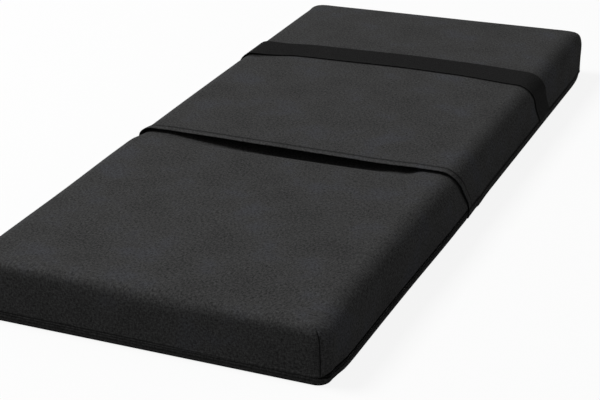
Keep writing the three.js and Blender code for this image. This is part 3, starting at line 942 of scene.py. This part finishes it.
def square_up(points, normals):
    """How far the shoulder stands out from a circle, as cut and sewn foam does. Across the near
    end it is a curve |a|^n + |b|^n = 1, with n from 3 in the middle to 4.7 on the right and 5.7
    on the left. Each far corner is a rounded box, |a|^5 + |b|^5 + |c|^5 = 1."""
    x, y, z = axes(points)
    level_part = np.hypot(normals[..., 0], normals[..., 1])
    power = 3.0 + 2.7 * ramp(-x, -0.08, 0.3) + 1.7 * ramp(x, 0.1, 0.25)
    powers = level_part ** power + np.abs(normals[..., 2]) ** power
    end_on = np.minimum(normals[..., 1] / np.maximum(level_part, 1e-9), 0.0) ** 2
    fifths = (np.abs(normals) ** 5).sum(-1)
    sideways = np.where(x > 0, ramp(x, 0.37, 0.435), 0.6 * ramp(-x, 0.36, 0.43))
    at_corner = ramp(y, 0.92, 0.985) * sideways * ramp(z, 28 * MM, 95 * MM)
    return SHOULDER * (powers ** (-1.0 / power) - 1.0) * end_on \
        + 0.5 * SHOULDER * (fifths ** (-1.0 / 5.0) - 1.0) * at_corner


def build_cover_top(paint):
    """The cover's top and walls: one closed shell of cloth, lofted round the mattress."""
    ys = gather((-SIDE_END, -0.30, 15 * MM), (-0.30, -0.13, 6 * MM), (-0.13, 0.06, 10 * MM),
                (0.06, SIDE_END, 20 * MM))
    outline = Outline(COVER_LOW, COVER_HIGH, ys, over_end(COVER_HIGH[0], 16 * MM))
    rim = COVER_LOW[2]
    rows = gather((rim, rim + 3 * MM, 0.6 * MM), (rim + 3 * MM, rim + 11 * MM, 0.8 * MM),
                  (rim + 11 * MM, 98 * MM, 7 * MM))
    profile = shoulder_profile(COVER_HIGH[0], rows, COVER_HIGH[2], 13 * MM, 18)

    def shape(points, normals):
        x, y, z = axes(points)
        detail = corner_seam(outline, points, rim) + square_up(points, normals)
        detail = detail + zip_cover(points) - SEWN_DEEP * sewn_down(points)
        points = points + UP * zip_opening(points, normals)[..., None]
        wall = 1.0 - ramp(z, 60 * MM, 110 * MM)
        along = x - y
        detail = detail + WALL_RIPPLE * wall * np.sin(along * 90.0) * np.sin(along * 37.0 + 1.0)
        edge = round_edge(z - rim, CLOTH / 2)
        outer = settle(points + normals * (detail - edge)[..., None])
        inner = settle(points + normals * (0.9 * detail - CLOTH + edge)[..., None])
        return outer, inner

    def marks(points):
        # Painted shade in the corner seams and in the sewn lines beside the zip.
        return {"crease": np.maximum(seam_shade_mark(outline, points, rim), 0.9 * sewn_down(points))}

    made, outer = skin("cover_top_cloth", outline, profile, CLOTH, paint["cloth"], shape, None,
                       marks)
    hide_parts("cover_top")
    settled(made, "mattress", "cover_cloth")
    upright = (profile[:, 1] < SEAM_TOP - 5 * MM) & (profile[:, 0] < SHOULDER / 2)
    runs = []
    for sx, sy in ((1, -1), (1, 1), (-1, 1), (-1, -1)):
        here = (outline.sx == sx) & (outline.sy == sy)
        column = np.flatnonzero(here)[np.argmin(outline.seam_distance(0.0)[here])]
        away = unit(np.array([sx * 0.42, sy * 0.9, 0.0]))
        for beside in (-5, 5):
            line = outer[upright, column + beside]
            facing = np.tile(away, (len(line), 1))
            runs.append(stitches(line, facing, CORNER_STITCH, 0.25))
    return made, sewing("cover_corner_stitches", runs, paint, "mattress")


def at_near_end(points):
    """1 along the near end from the zip's top stop to the right corner, 0 elsewhere."""
    x, y, _ = axes(points)
    from_stop = ramp(x, TOP_STOP_X, TOP_STOP_X + 8 * MM)
    into_corner = 1.0 - ramp(x, COVER_HIGH[0] - CORNER, COVER_HIGH[0] - 4 * MM)
    return from_stop * into_corner * ramp(-y, -COVER_LOW[1] - 30 * MM, -COVER_LOW[1] - 12 * MM)


def zip_cover(points):
    """How far the cover's rims stand out over the zip's teeth at the near end."""
    beside = 1.0 - ramp(np.abs(points[..., 2] - SEAM_Z), 5 * MM, 11 * MM)
    return ZIP_COVER * at_near_end(points) * beside


def sewn_down(points):
    """1 on the two lines that hold the cloth down beside the zip at the near end. It sinks them as
    shallow grooves, and as a mark it paints shade along them.
    """
    x, _, z = axes(points)
    upper = bell(z - (27.8 * MM - 2.5 * MM * ramp(x, -0.1, 0.4)), 1.7 * MM)
    lower = bell(z - 10.5 * MM, 1.2 * MM)
    return ((1.0 - 0.6 * ramp(x, 0.0, 0.3)) * upper + 0.45 * lower) * at_near_end(points)


def zip_opening(points, normals):
    """How far the cover's two rims part, up or down, so that the zip shows between them on the
    right side, and how far they close over it at the near end."""
    _, y, z = axes(points)
    right = ramp(normals[..., 0], 0.55, 0.97) * (1.0 - ramp(y, 0.90, 0.945))
    upper = (z > SEAM_Z) * (1.0 - ramp(z, 24 * MM, 50 * MM))
    lower = (z < SEAM_Z) * ramp(z, 4 * MM, 15 * MM)
    return (upper - lower) * (ZIP_PARTS * right - ZIP_CLOSES * at_near_end(points))


def foot_shade(points):
    """Painted shade on a base: dark along its foot on the right side and, less, at the near end,
    under a paler rim, and on the sewn lines beside the zip."""
    x, y, z = axes(points)
    right = ramp(x, BASE_HIGH[0] - 14 * MM, BASE_HIGH[0] - 3 * MM)
    near = ramp(-y, -BASE_LOW[1] - 12 * MM, -BASE_LOW[1] - 3 * MM)
    foot = 1.0 - ramp(z, 4 * MM, 7 * MM)
    sole = 1.0 - ramp(z, 3.5 * MM, 6.5 * MM)
    return {"crease": np.max([right * foot, 0.8 * near * sole, sewn_down(points)], axis=0)}


def build_tray(name, low, high, ys, step, finish, lay, is_open=False):
    """A shallow tray of cloth: a floor, a foot and a low wall. lay(points, normals) gives where
    it lies, and how far both its faces draw in towards its rim."""
    outline = Outline(low, high, ys, over_end(high[0], 25 * MM), is_open)
    rows = gather((FOOT, high[2] - 3 * MM, step), (high[2] - 3 * MM, high[2], 0.6 * MM))[1:]

    def shape(points, normals):
        laid, edge = lay(points, normals)
        return laid - normals * edge[..., None], laid - normals * (CLOTH - edge)[..., None]

    profile = foot_profile(high[0], rows)
    return skin(name, outline, profile, CLOTH, finish, shape, marks=foot_shade)[0]


def build_cover_base(paint):
    """The cover's base: a tray of cloth, raised a little where the sleeve's base is under it."""
    ys = gather((-SIDE_END, -0.17, 25 * MM), (-0.17, -0.116, 3 * MM), (-0.116, SIDE_END, 30 * MM))

    def lay(points, normals):
        proud = zip_cover(points) - SEWN_DEEP * sewn_down(points)
        points = points + UP * zip_opening(points, normals)[..., None] + normals * proud[..., None]
        _, y, z = axes(points)
        lift = BASE_LIFT * ramp(y, -134 * MM, -120 * MM) * (1.0 - ramp(z, 0.0, 12 * MM))
        edge = round_edge(BASE_HIGH[2] - z, CLOTH / 2)
        return points + stacked(foot_spread(points), 0.0, lift), edge

    made = build_tray("cover_base_cloth", BASE_LOW, BASE_HIGH, ys, 0.9 * MM, paint["base_cloth"],
                      lay)
    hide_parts("cover_base")
    return settled(made, "mattress", "base_cloth")


def round_path(half_x, near, far, radius, start, end, step=6 * MM):
    """A level path round a rounded rectangle, anticlockwise from above, between two places
    told as (side, station): sides are near, right, far and left. Gives points and outwards."""
    sides = ("near", "right", "far", "left")
    right, left, front, back = half_x - radius, radius - half_x, near + radius, far - radius
    middles = ((right, front), (right, back), (left, back), (left, front))
    first, last = sides.index(start[0]), sides.index(end[0])
    last += 4 * (last <= first)

    def on(side, station):
        return {"near": (station, near), "right": (half_x, station),
                "far": (station, far), "left": (-half_x, station)}[side]

    def corner(k):
        turn = np.radians(np.arange(0.0, 90.1, 6.0)) + math.radians(90.0 * k - 90.0)
        return middles[k] + radius * stacked(np.cos(turn), np.sin(turn))

    path = np.concatenate([[on(*start)], *(corner(k % 4) for k in range(first, last)), [on(*end)]])
    flat, = resample(path, step)
    along = unit(np.gradient(flat, axis=0))
    return flat, stacked(along[:, 1], -along[:, 0], 0.0)


def level(flat, z):
    """A flat path as points at height z."""
    return stacked(flat[:, 0], flat[:, 1], z)


def build_cover_seam(paint):
    """The cover's bound seam where it has no zip, along its far end and left side and round the
    near left corner: a piped welt and its stitches."""
    low, high = corners("cover_seam")
    flat, out = round_path(COVER_HIGH[0], COVER_LOW[1], COVER_HIGH[1], CORNER,
                           ("right", COVER_HIGH[1] - CORNER - 1 * MM),
                           ("near", TOP_STOP_X - 0.3 * MM))
    path = level(flat, (low[2] + high[2]) / 2)
    half = (high[2] - low[2]) / 2 + SEAM_BITE
    section = oval(1.5 * MM, half, 14, 0.75) + [[-0.7 * MM, 0.0]]
    welt = band("cover_seam_welt", path, out, section, paint["binding"])
    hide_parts("cover_seam")
    settled(welt, "mattress", "binding_tape")
    runs = [stitches(path + UP * rise * MM + out * 0.35 * MM, out, SEAM_STITCH)
            for rise in (-1.5, 1.5)]
    return welt, sewing("cover_seam_stitches", runs, paint, "mattress")


def band(name, path, out, section, finish):
    """A section swept round the mattress. Its cloth coordinates are z + 0.3x across the band
    and x + y along it."""
    points, quads = sweep(path, out, section)
    x, y, z = axes(points)
    return put(name, points, quads, finish, stacked(z + 0.3 * x, x + y)[quads])


def zip_path(out_by, start_x, end_y, step):
    """The zip's path: along the near end, round the corner and up the right side."""
    half = COVER_HIGH[0] + out_by
    return round_path(half, COVER_LOW[1] - out_by, COVER_HIGH[1] + out_by, CORNER + out_by,
                      ("near", start_x), ("right", end_y), step)


def build_zip(paint):
    """The zip's two rows of coil teeth and its two tapes."""
    bar, quads = pillow(*TOOTH, 6, 5)
    for name, side in (("upper", 1), ("lower", -1)):
        low, high = corners("zip_coil_" + name)
        flat, out = zip_path(high[0] - COVER_HIGH[0] - COIL_IN, low[0] + 1 * MM,
                             high[1] - 1 * MM, TOOTH_PITCH)
        middle = level(flat, (low[2] + high[2]) / 2 + side * 0.35 * MM)
        sunk = (0.25 + 1.15 * at_near_end(middle)) * MM
        places = middle - out * sunk[:, None]
        places[:, 0] += foot_spread(places)
        along = np.cross(np.broadcast_to(UP, out.shape), out)
        turn = unit(UP * 0.9 + out * 0.25 * side)
        teeth = copies(bar, quads, places, turn, along, np.cross(turn, along))
        coil = put("zip_teeth_" + name, *teeth, paint["coil"])
        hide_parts("zip_coil_" + name)
        settled(coil, "mattress", "zip_coil")
        low, high = corners("zip_tape_" + name)
        flat, out = zip_path(-TAPE_IN, low[0], high[1], 9 * MM)
        section = oval(TAPE_HALF, (high[2] - low[2]) / 2, 12, 0.4)
        middle = level(flat, (low[2] + high[2]) / 2)
        middle[:, 0] += foot_spread(middle)
        tape = band("zip_tape_" + name + "_cloth", middle, out, section, paint["tape"])
        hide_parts("zip_tape_" + name)
        settled(tape, "mattress", "zip_tape")


def repaint(node, material):
    """A CAD node that keeps its shape gets a better finish."""
    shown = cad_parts[node]
    shown.data.materials.clear()
    shown.data.materials.append(material)


def build_sleeve(paint):
    """The sleeve's top and walls: cloth of one thickness, double in the turned hem."""
    hem = bpy.context.scene.mattress_sizes.hem_width
    hem_end = MOUTH_Y + hem
    ys = gather((MOUTH_Y, MOUTH_Y + 3 * MM, 0.5 * MM),
                (MOUTH_Y + 3 * MM, hem_end - 6 * MM, 5 * MM),
                (hem_end - 6 * MM, hem_end + 6 * MM, 1.2 * MM), (hem_end + 6 * MM, 0.0, 9 * MM),
                (0.0, 0.44, 20 * MM), (0.44, 0.62, 2.5 * MM), (0.62, SIDE_END, 20 * MM))
    outline = Outline(SLEEVE_LOW, SLEEVE_HIGH, ys, over_end(SLEEVE_HIGH[0], 16 * MM), True)
    rim = SLEEVE_LOW[2]
    rows = gather((rim, rim + 3 * MM, 0.6 * MM), (rim + 3 * MM, 100 * MM, 6 * MM))
    profile = shoulder_profile(SLEEVE_HIGH[0], rows, SLEEVE_TOP, 13 * MM, 12)

    def carry(station, z):
        return mouth_lean(z) * (1.0 - ramp(station, MOUTH_Y, MOUTH_Y + 0.26))

    def shape(points, normals):
        x, y, z = axes(points)
        detail = corner_seam(outline, points, rim) + square_up(points, normals)
        run = y - (MOUTH_Y + mouth_lean(z))
        fold = 1.0 - ramp(run, hem - 1.5 * MM, hem + 1.5 * MM)
        sewn = bell(run - hem + HEM_SEWN, 1.1 * MM)
        soft = np.sin(x * 61.0 + 1.0) * np.sin(x * 23.0) * bell(run, 90 * MM)
        detail = detail + HEM_PROUD * fold - 0.6 * MM * sewn * (fold + 0.2) + 0.3 * MM * soft
        detail = detail + RIPPLE * np.sin(x * 9.0 + y * 5.0) * np.sin(y * 8.3 - x * 3.0 + 1.2)
        detail = detail - STRAP_BITE * strap_press(points)
        edge = round_edge(np.minimum(run, 3.0), (CLOTH + HEM_PROUD * fold) / 2)
        edge = np.maximum(edge, round_edge(z - rim, CLOTH / 2))
        outer = pull_over(points + normals * (detail - edge)[..., None])
        inner = pull_over(points + normals * (detail - HEM_PROUD * fold - CLOTH + edge)[..., None])
        return outer, inner

    def marks(points):
        x, y, z = axes(points)
        # Painted shade in the hem's stitched groove, wider round the right shoulder.
        wide = 3.5 * MM + 1.5 * MM * hump(z, 122 * MM, 45 * MM, 18 * MM) * (x > 0.38)
        hem_shade = bell(y - (MOUTH_Y + mouth_lean(z)) - hem + HEM_SEWN, wide)
        # Painted shadow along the strap's near edge.
        beside = bell(y - strap_edges(x, z)[0] + 1.5 * MM, 2.6 * MM)
        seam = seam_shade_mark(outline, points, rim)
        # Painted shade along the foot of the right wall, below 25 to 30 mm.
        foot = ramp(x, 0.435, 0.447) * (1.0 - ramp(z, 25 * MM, 30 * MM))
        return {"crease": np.max([0.85 * hem_shade, beside, seam, foot], axis=0)}

    made, outer = skin("sleeve_top_cloth", outline, profile, CLOTH, paint["cloth"], shape, carry,
                       marks)
    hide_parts("sleeve_top")
    settled(made, "sleeve", "cover_cloth")
    station = ys[np.argmin(np.abs(ys - (hem_end - HEM_SEWN)))]
    right, left = (outer[:, (outline.sy == 0) & (outline.sx == s) & (outline.station == station)]
                   for s in (1, -1))
    row = np.concatenate([right[:, 0], left[::-1, 0][1:]])
    away = np.cross(unit(np.gradient(row, axis=0)), [0.0, -1.0, 0.0])
    run = stitches(row, unit(away), HEM_STITCH)
    return made, sewing("sleeve_hem_stitches", [run], paint, "sleeve")


def strap_press(points):
    """How far the strap presses in the cloth under it: 1 under it, falling off beside it."""
    x, y, z = axes(points)
    near, far = strap_edges(x, z)
    return ramp(y, near - 14 * MM, near + 2 * MM) * (1.0 - ramp(y, far - 2 * MM, far + 14 * MM))


def strap_edges(x, z):
    """The strap's two edges where it crosses the top at x or a wall at height z. It bows away
    from the hem in the middle and comes nearer to it over both shoulders. Down the right wall
    it leans away, by a power of the share of the way down from the shoulder's start."""
    bent = np.clip((np.abs(x) - SLEEVE_HIGH[0] + SHOULDER) / SHOULDER, 0.0, 1.0)
    wall = SLEEVE_TOP - SHOULDER
    run = SHOULDER * np.arcsin(bent) + np.maximum(wall - z, 0.0)
    down = (run / (SHOULDER * math.pi / 2 + wall - STRAP_LOW[2])) ** 2.2
    left = (x < 0) * (STRAP_LEFT * (1.0 - ramp(x, -0.418, -0.27)) + STRAP_BOW * down)
    bowed = STRAP_BOW * hump(x, 0.05, 0.17, 0.13) - 6 * MM * hump(x, -0.33, 0.06, 0.06)
    wide = STRAP_WIDTH / 2
    near = STRAP_LEAN[0] * (x > 0) * down - STRAP_PULL[0] * ramp(x, 0.21, 0.42)
    far = STRAP_LEAN[1] * (x > 0) * down - STRAP_PULL[1] * ramp(x, 0.23, 0.43)
    middle = STRAP_Y + bowed
    return middle - wide + near - left * 1.05, middle + wide + far - left * 0.75


def build_strap(paint):
    """The elastic strap over the sleeve: ribbed webbing with thicker edges, sewn into the
    bottom seam at both ends."""
    rows = gather((STRAP_LOW[2], 98 * MM, 5 * MM))
    profile = shoulder_profile(SLEEVE_HIGH[0], rows, SLEEVE_TOP, 24 * MM, 14)
    inset, z = profile.T
    across, upwards = profile_normals(profile)
    x = np.concatenate([SLEEVE_HIGH[0] - inset, (inset - SLEEVE_HIGH[0])[::-1][1:]])
    z = np.concatenate([z, z[::-1][1:]])
    normals = stacked(np.concatenate([across, -across[::-1][1:]]), 0.0,
                      np.concatenate([upwards, upwards[::-1][1:]]))[:, None, :]
    run = lengths(stacked(x, z))
    near, far = strap_edges(x, z)
    thick = STRAP_HIGH[0] - SLEEVE_HIGH[0]
    share = np.unique(np.concatenate([np.linspace(0, 1, STRAP_RIBS * 4 + 1),
                                      [0.002, 0.006, 0.994, 0.998]]))
    from_edge = np.minimum(share, 1 - share) * STRAP_WIDTH
    edge = round_edge(from_edge, thick / 2)
    wave = np.abs(np.sin(share * STRAP_RIBS * math.pi))
    height = thick - 0.3 * MM + 0.3 * MM * wave + 0.25 * MM * bell(from_edge, 2.2 * MM) - edge
    slack = bpy.context.scene.mattress_sizes.strap_proud
    proud = (slack * hump(x, -0.412, 0.035, 0.06) * ramp(z, 60 * MM, 120 * MM))[:, None]
    sewn = 0.5 * MM * bell(np.minimum(run, run[-1] - run), 2 * MM)[:, None]
    base = stacked(x[:, None], near[:, None] + (far - near)[:, None] * share, z[:, None])
    outer = base + normals * (height + proud - sewn)[..., None]
    inner = base + normals * (edge + proud + 0.05 * MM)[..., None]
    count = base.shape[0] * base.shape[1]
    quads = cells(base.shape[0], base.shape[1], False)
    points = np.concatenate([pull_over(outer).reshape(-1, 3), pull_over(inner).reshape(-1, 3)])
    every = np.concatenate([quads, quads[:, ::-1] + count, rim_cells(rims(quads), 0, count)])
    every = facing_out(points, every)
    place = np.tile(stacked(share * STRAP_WIDTH, run[:, None]).reshape(-1, 2), (2, 1))
    made = put("strap_webbing", points, every, paint["strap"], place[every])
    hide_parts("strap_band")
    return settled(made, "sleeve", "elastic_band")


def build_sleeve_base(paint):
    """The sleeve's base: a tray of cloth, open towards the hem."""
    start = SLEEVE_BASE_LOW[1]
    ys = gather((start, start + 3 * MM, 0.6 * MM), (start + 3 * MM, 0.03, 6 * MM),
                (0.03, SIDE_END, 30 * MM))

    def lay(points, _):
        rim = round_edge(SLEEVE_BASE_HIGH[2] - points[..., 2], CLOTH / 2)
        edge = np.maximum(round_edge(points[..., 1] - start, CLOTH / 2), rim)
        return points + stacked(foot_spread(points), 0.0, 0.0), edge

    made = build_tray("sleeve_base_cloth", SLEEVE_BASE_LOW, SLEEVE_BASE_HIGH, ys, 2.4 * MM,
                      paint["base_cloth"], lay, True)
    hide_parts("sleeve_base")
    return settled(made, "sleeve", "base_cloth")


def build_sleeve_binding(paint):
    """The tape that binds the sleeve's bottom seam, with a row of stitches."""
    flat, out = round_path(SLEEVE_HIGH[0], -1.0, SLEEVE_HIGH[1], CORNER,
                           ("right", BINDING_LOW[1] + 1 * MM), ("left", BINDING_LOW[1] + 1 * MM))
    path = level(flat, SEAM_Z)
    path[:, 0] += foot_spread(path)
    half = (BINDING_HIGH[2] - BINDING_LOW[2]) / 2 + SEAM_BITE
    section = oval(1.35 * MM, half, 14, 0.7) + [[-0.15 * MM, 0.0]]
    tape = band("sleeve_binding_tape", path, out, section, paint["binding"])
    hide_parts("sleeve_binding")
    settled(tape, "sleeve", "binding_tape")
    run = stitches(path + out * 1.15 * MM, out, BINDING_STITCH)
    return tape, sewing("sleeve_binding_stitches", [run], paint, "sleeve")


def around_profile(low, high, rows, shoulder):
    """[inset, z] all the way round: from the middle of the floor outwards, up the wall by the
    rows, round the shoulder and in over the top to the middle."""
    step = 12 * MM
    half_x, _, top = high
    outwards = np.linspace(half_x, 0.0, round(half_x / step))
    turn = np.linspace(0.0, math.pi / 2, 10 if shoulder else 1)
    bend = stacked(shoulder * (1 - np.cos(turn)), top - shoulder * (1 - np.sin(turn)))
    inwards = np.linspace(shoulder, half_x, round((half_x - shoulder) / step))[1:]
    return np.concatenate([stacked(outwards, low[2]), stacked(0.0, rows), bend,
                           stacked(inwards, top)])


def build_core(paint):
    """The two foams, as closed blocks, and the knitted liner round them, with its slit."""
    ys = gather((-0.95, -0.30, 40 * MM), (-0.30, 0.04, 12 * MM), (0.04, 0.95, 40 * MM))
    made = {}

    def shape(points, normals):
        return settle(points, CORE_DISHED), settle(points - normals * KNIT, CORE_DISHED)

    blocks = (("support", SUPPORT_LOW, SUPPORT_HIGH, 0.0),
              ("memory", MEMORY_LOW, MEMORY_HIGH, SHOULDER))
    for name, low, high, shoulder in blocks:
        outline = Outline(low, high, ys, gather((-0.406, 0.406, 40 * MM)))
        rows = np.linspace(low[2], high[2] - shoulder, 3 if shoulder else 6)[1:-1]
        profile = around_profile(low, high, rows, shoulder)
        block, _ = skin(name + "_block", outline, profile, 0.0, paint[name], shape)
        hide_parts(name + "_foam")
        made[name] = settled(block, "mattress", name + "_foam")
    xs = gather((-0.4074, -SLIT_REACH, 14 * MM), (-SLIT_REACH, SLIT_REACH, 20 * MM),
                (SLIT_REACH, 0.4074, 14 * MM))
    outline = Outline(LINER_LOW, LINER_HIGH, ys, xs)
    rows = gather((LINER_LOW[2] + 6 * MM, SLIT_LOW, 12 * MM), (SLIT_LOW, SLIT_HIGH, 10 * MM))
    profile = around_profile(LINER_LOW, LINER_HIGH, rows, SHOULDER)

    def keep(points):
        after = np.roll(points, -1, axis=1)
        x, y, z = axes((points[:-1] + points[1:] + after[:-1] + after[1:]) / 4)
        slit = (np.abs(x) < SLIT_REACH) & (z > SLIT_LOW) & (z < SLIT_HIGH)
        return ~(slit & (y > LINER_HIGH[1] - 1 * MM))

    bag, _ = skin("liner_bag", outline, profile, KNIT, paint["liner"], shape, keep=keep)
    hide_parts("inner_liner")
    made["liner"] = settled(bag, "mattress", "liner_knit")
    return made


# ---- the add-on's properties, operators and panel ----


class MattressSizes(PropertyGroup):
    """Sizes and colours that a user may change before building."""

    cloth_colour: FloatVectorProperty(
        name="Cloth colour", description="Middle colour of the cover's and the sleeve's cloth",
        default=(0.045, 0.045, 0.045), min=0.0, max=1.0, size=3, subtype="COLOR")
    strap_colour: FloatVectorProperty(
        name="Strap colour", description="Dark colour of the elastic strap",
        default=(0.0054, 0.0054, 0.0054), min=0.0, max=1.0, size=3, subtype="COLOR")
    swell: FloatProperty(
        name="Swell", description="How far the sides swell before the hem",
        default=0.005, min=0.0, max=0.01, unit="LENGTH")
    tuck: FloatProperty(
        name="Tuck", description="How far the sleeve draws the sides in",
        default=0.0045, min=0.0, max=0.006, unit="LENGTH")
    spread: FloatProperty(
        name="Foot spread", description="How far the right side stands out near the floor",
        default=0.0025, min=0.0, max=0.005, unit="LENGTH")
    flare: FloatProperty(
        name="Flare", description="How far the hem stands off the sides",
        default=0.003, min=0.0, max=0.006, unit="LENGTH")
    hem_width: FloatProperty(
        name="Hem width", description="Width of the sleeve's turned hem",
        default=0.0255, min=0.015, max=0.05, unit="LENGTH")
    strap_proud: FloatProperty(
        name="Strap slack", description="How far the strap stands off the left shoulder",
        default=0.004, min=0.0, max=0.008, unit="LENGTH")


class MATTRESS_OT_cover(Operator):
    """Build the cover: its top, base, corner stitches, bound seam and zip"""

    bl_idname = "mattress.cover"
    bl_label = "Cover and zip"

    def execute(self, context):
        paint = finishes()
        top, corner_thread = build_cover_top(paint)
        base = build_cover_base(paint)
        welt, seam_thread = build_cover_seam(paint)
        build_zip(paint)
        for node in ("zip_top_stop", "zip_bottom_stop", "zip_slider", "zip_pull"):
            repaint(node, paint["metal"])
        half_surface(top)
        half_surface(base)
        return {"FINISHED"}


class MATTRESS_OT_sleeve(Operator):
    """Build the sleeve: its top, base, bound seam and strap"""

    bl_idname = "mattress.sleeve"
    bl_label = "Sleeve and strap"

    def execute(self, context):
        paint = finishes()
        top, hem_thread = build_sleeve(paint)
        base = build_sleeve_base(paint)
        tape, thread = build_sleeve_binding(paint)
        strap = build_strap(paint)
        half_surface(top)
        half_surface(base)
        return {"FINISHED"}


class MATTRESS_OT_core(Operator):
    """Build the foam core: support foam, memory foam and the liner round them"""

    bl_idname = "mattress.core"
    bl_label = "Foam core"

    def execute(self, context):
        made = build_core(finishes())
        half_surface(made["liner"])
        return {"FINISHED"}


class MATTRESS_OT_stage(Operator):
    """Build the stage: a pale floor, soft studio light and the camera"""

    bl_idname = "mattress.stage"
    bl_label = "Stage, light and camera"

    def execute(self, context):
        scene = context.scene
        scene.view_settings.view_transform = "Standard"
        build_floor()
        build_key_light()
        build_world(scene)
        build_camera(scene)
        return {"FINISHED"}


def build_floor():
    """A large level floor. It bounces a middling light and is seen nearly white."""
    mesh = bpy.data.meshes.new("floor")
    signs = ((-1, -1), (1, -1), (1, 1), (-1, 1))
    places = [(x * FLOOR_REACH, y * FLOOR_REACH, 0) for x, y in signs]
    mesh.from_pydata(places, [], [(0, 1, 2, 3)])
    floor = bpy.data.objects.new("floor", mesh)
    floor.location.z = -FLOOR_GAP
    bpy.context.scene.collection.objects.link(floor)
    finish = Finish("floor", roughness=1.0, specular_ior_level=0.0, emission_strength=1.0)
    seen = finish.seen_directly()
    colour = finish.blend(seen, (FLOOR_BOUNCE,) * 3, (FLOOR_SEEN,) * 3)
    glow = finish.blend(seen, (0.0,) * 3, (FLOOR_GLOW,) * 3)
    mesh.materials.append(finish.feed(base_color=colour, emission_color=glow))


def build_key_light():
    """A large square lamp, high on the left, turned to the mattress."""
    lamp = bpy.data.lights.new("key_light", "AREA")
    lamp.shape, lamp.size, lamp.energy = "SQUARE", KEY_SIZE, KEY_POWER
    made = bpy.data.objects.new("key_light", lamp)
    made.location = KEY_PLACE
    aim = Vector(KEY_TARGET) - Vector(KEY_PLACE)
    made.rotation_euler = aim.to_track_quat("-Z", "Y").to_euler()
    bpy.context.scene.collection.objects.link(made)


def build_world(scene):
    """Even light from all round, seen as white."""
    world = bpy.data.worlds.new("studio")
    world.use_nodes = True
    nodes = Nodes(world.node_tree)
    white = nodes.tree.nodes["Background"].inputs
    seen = nodes.seen_directly()
    nodes.set(white["Strength"], nodes.node("MapRange", None, {0: seen, "To Min": WORLD_LIGHT}))
    nodes.set(white["Color"], (1.0, 1.0, 1.0))
    scene.world = world


def build_camera(scene):
    """A long lens from the front right and above, rolled a little."""
    azimuth, elevation, roll = (math.radians(turn) for turn in CAMERA_TURN)
    right = Vector((math.cos(azimuth), math.sin(azimuth), 0.0))
    back = Vector((math.sin(azimuth) * math.cos(elevation),
                   -math.cos(azimuth) * math.cos(elevation), math.sin(elevation)))
    up = back.cross(right)
    place = right * CAMERA_OFF[0] + up * CAMERA_OFF[1] + back * CAMERA_OFF[2]
    turned = right * math.cos(roll) + up * math.sin(roll)
    upright = back.cross(turned)
    camera = bpy.data.objects.new("camera", bpy.data.cameras.new("camera"))
    camera.matrix_world = Matrix((turned, upright, back)).transposed().to_4x4()
    camera.location = place
    camera.data.lens = CAMERA_LENS
    scene.collection.objects.link(camera)
    scene.camera = camera


class MATTRESS_PT_build(Panel):
    """Lists what can be built, with its sizes and colours"""

    bl_label = "Mattress"
    bl_idname = "MATTRESS_PT_build"
    bl_space_type = "VIEW_3D"
    bl_region_type = "UI"
    bl_category = "Mattress"

    def draw(self, context):
        sizes = context.scene.mattress_sizes
        for name in sizes.__annotations__:
            self.layout.prop(sizes, name)
        for operator in (MATTRESS_OT_core, MATTRESS_OT_cover, MATTRESS_OT_sleeve,
                         MATTRESS_OT_stage):
            self.layout.operator(operator.bl_idname)


CLASSES = (MattressSizes, MATTRESS_OT_core, MATTRESS_OT_cover, MATTRESS_OT_sleeve,
           MATTRESS_OT_stage, MATTRESS_PT_build)


def register():
    """Adds the classes and the scene's sizes."""
    for each in CLASSES:
        bpy.utils.register_class(each)
    bpy.types.Scene.mattress_sizes = PointerProperty(type=MattressSizes)


def unregister():
    """Takes the sizes and the classes away again."""
    del bpy.types.Scene.mattress_sizes
    for each in reversed(CLASSES):
        bpy.utils.unregister_class(each)


def main():
    """Builds everything in order."""
    register()
    bpy.ops.mattress.core()
    bpy.ops.mattress.cover()
    bpy.ops.mattress.sleeve()
    bpy.ops.mattress.stage()


if __name__ == "__main__":
    main()
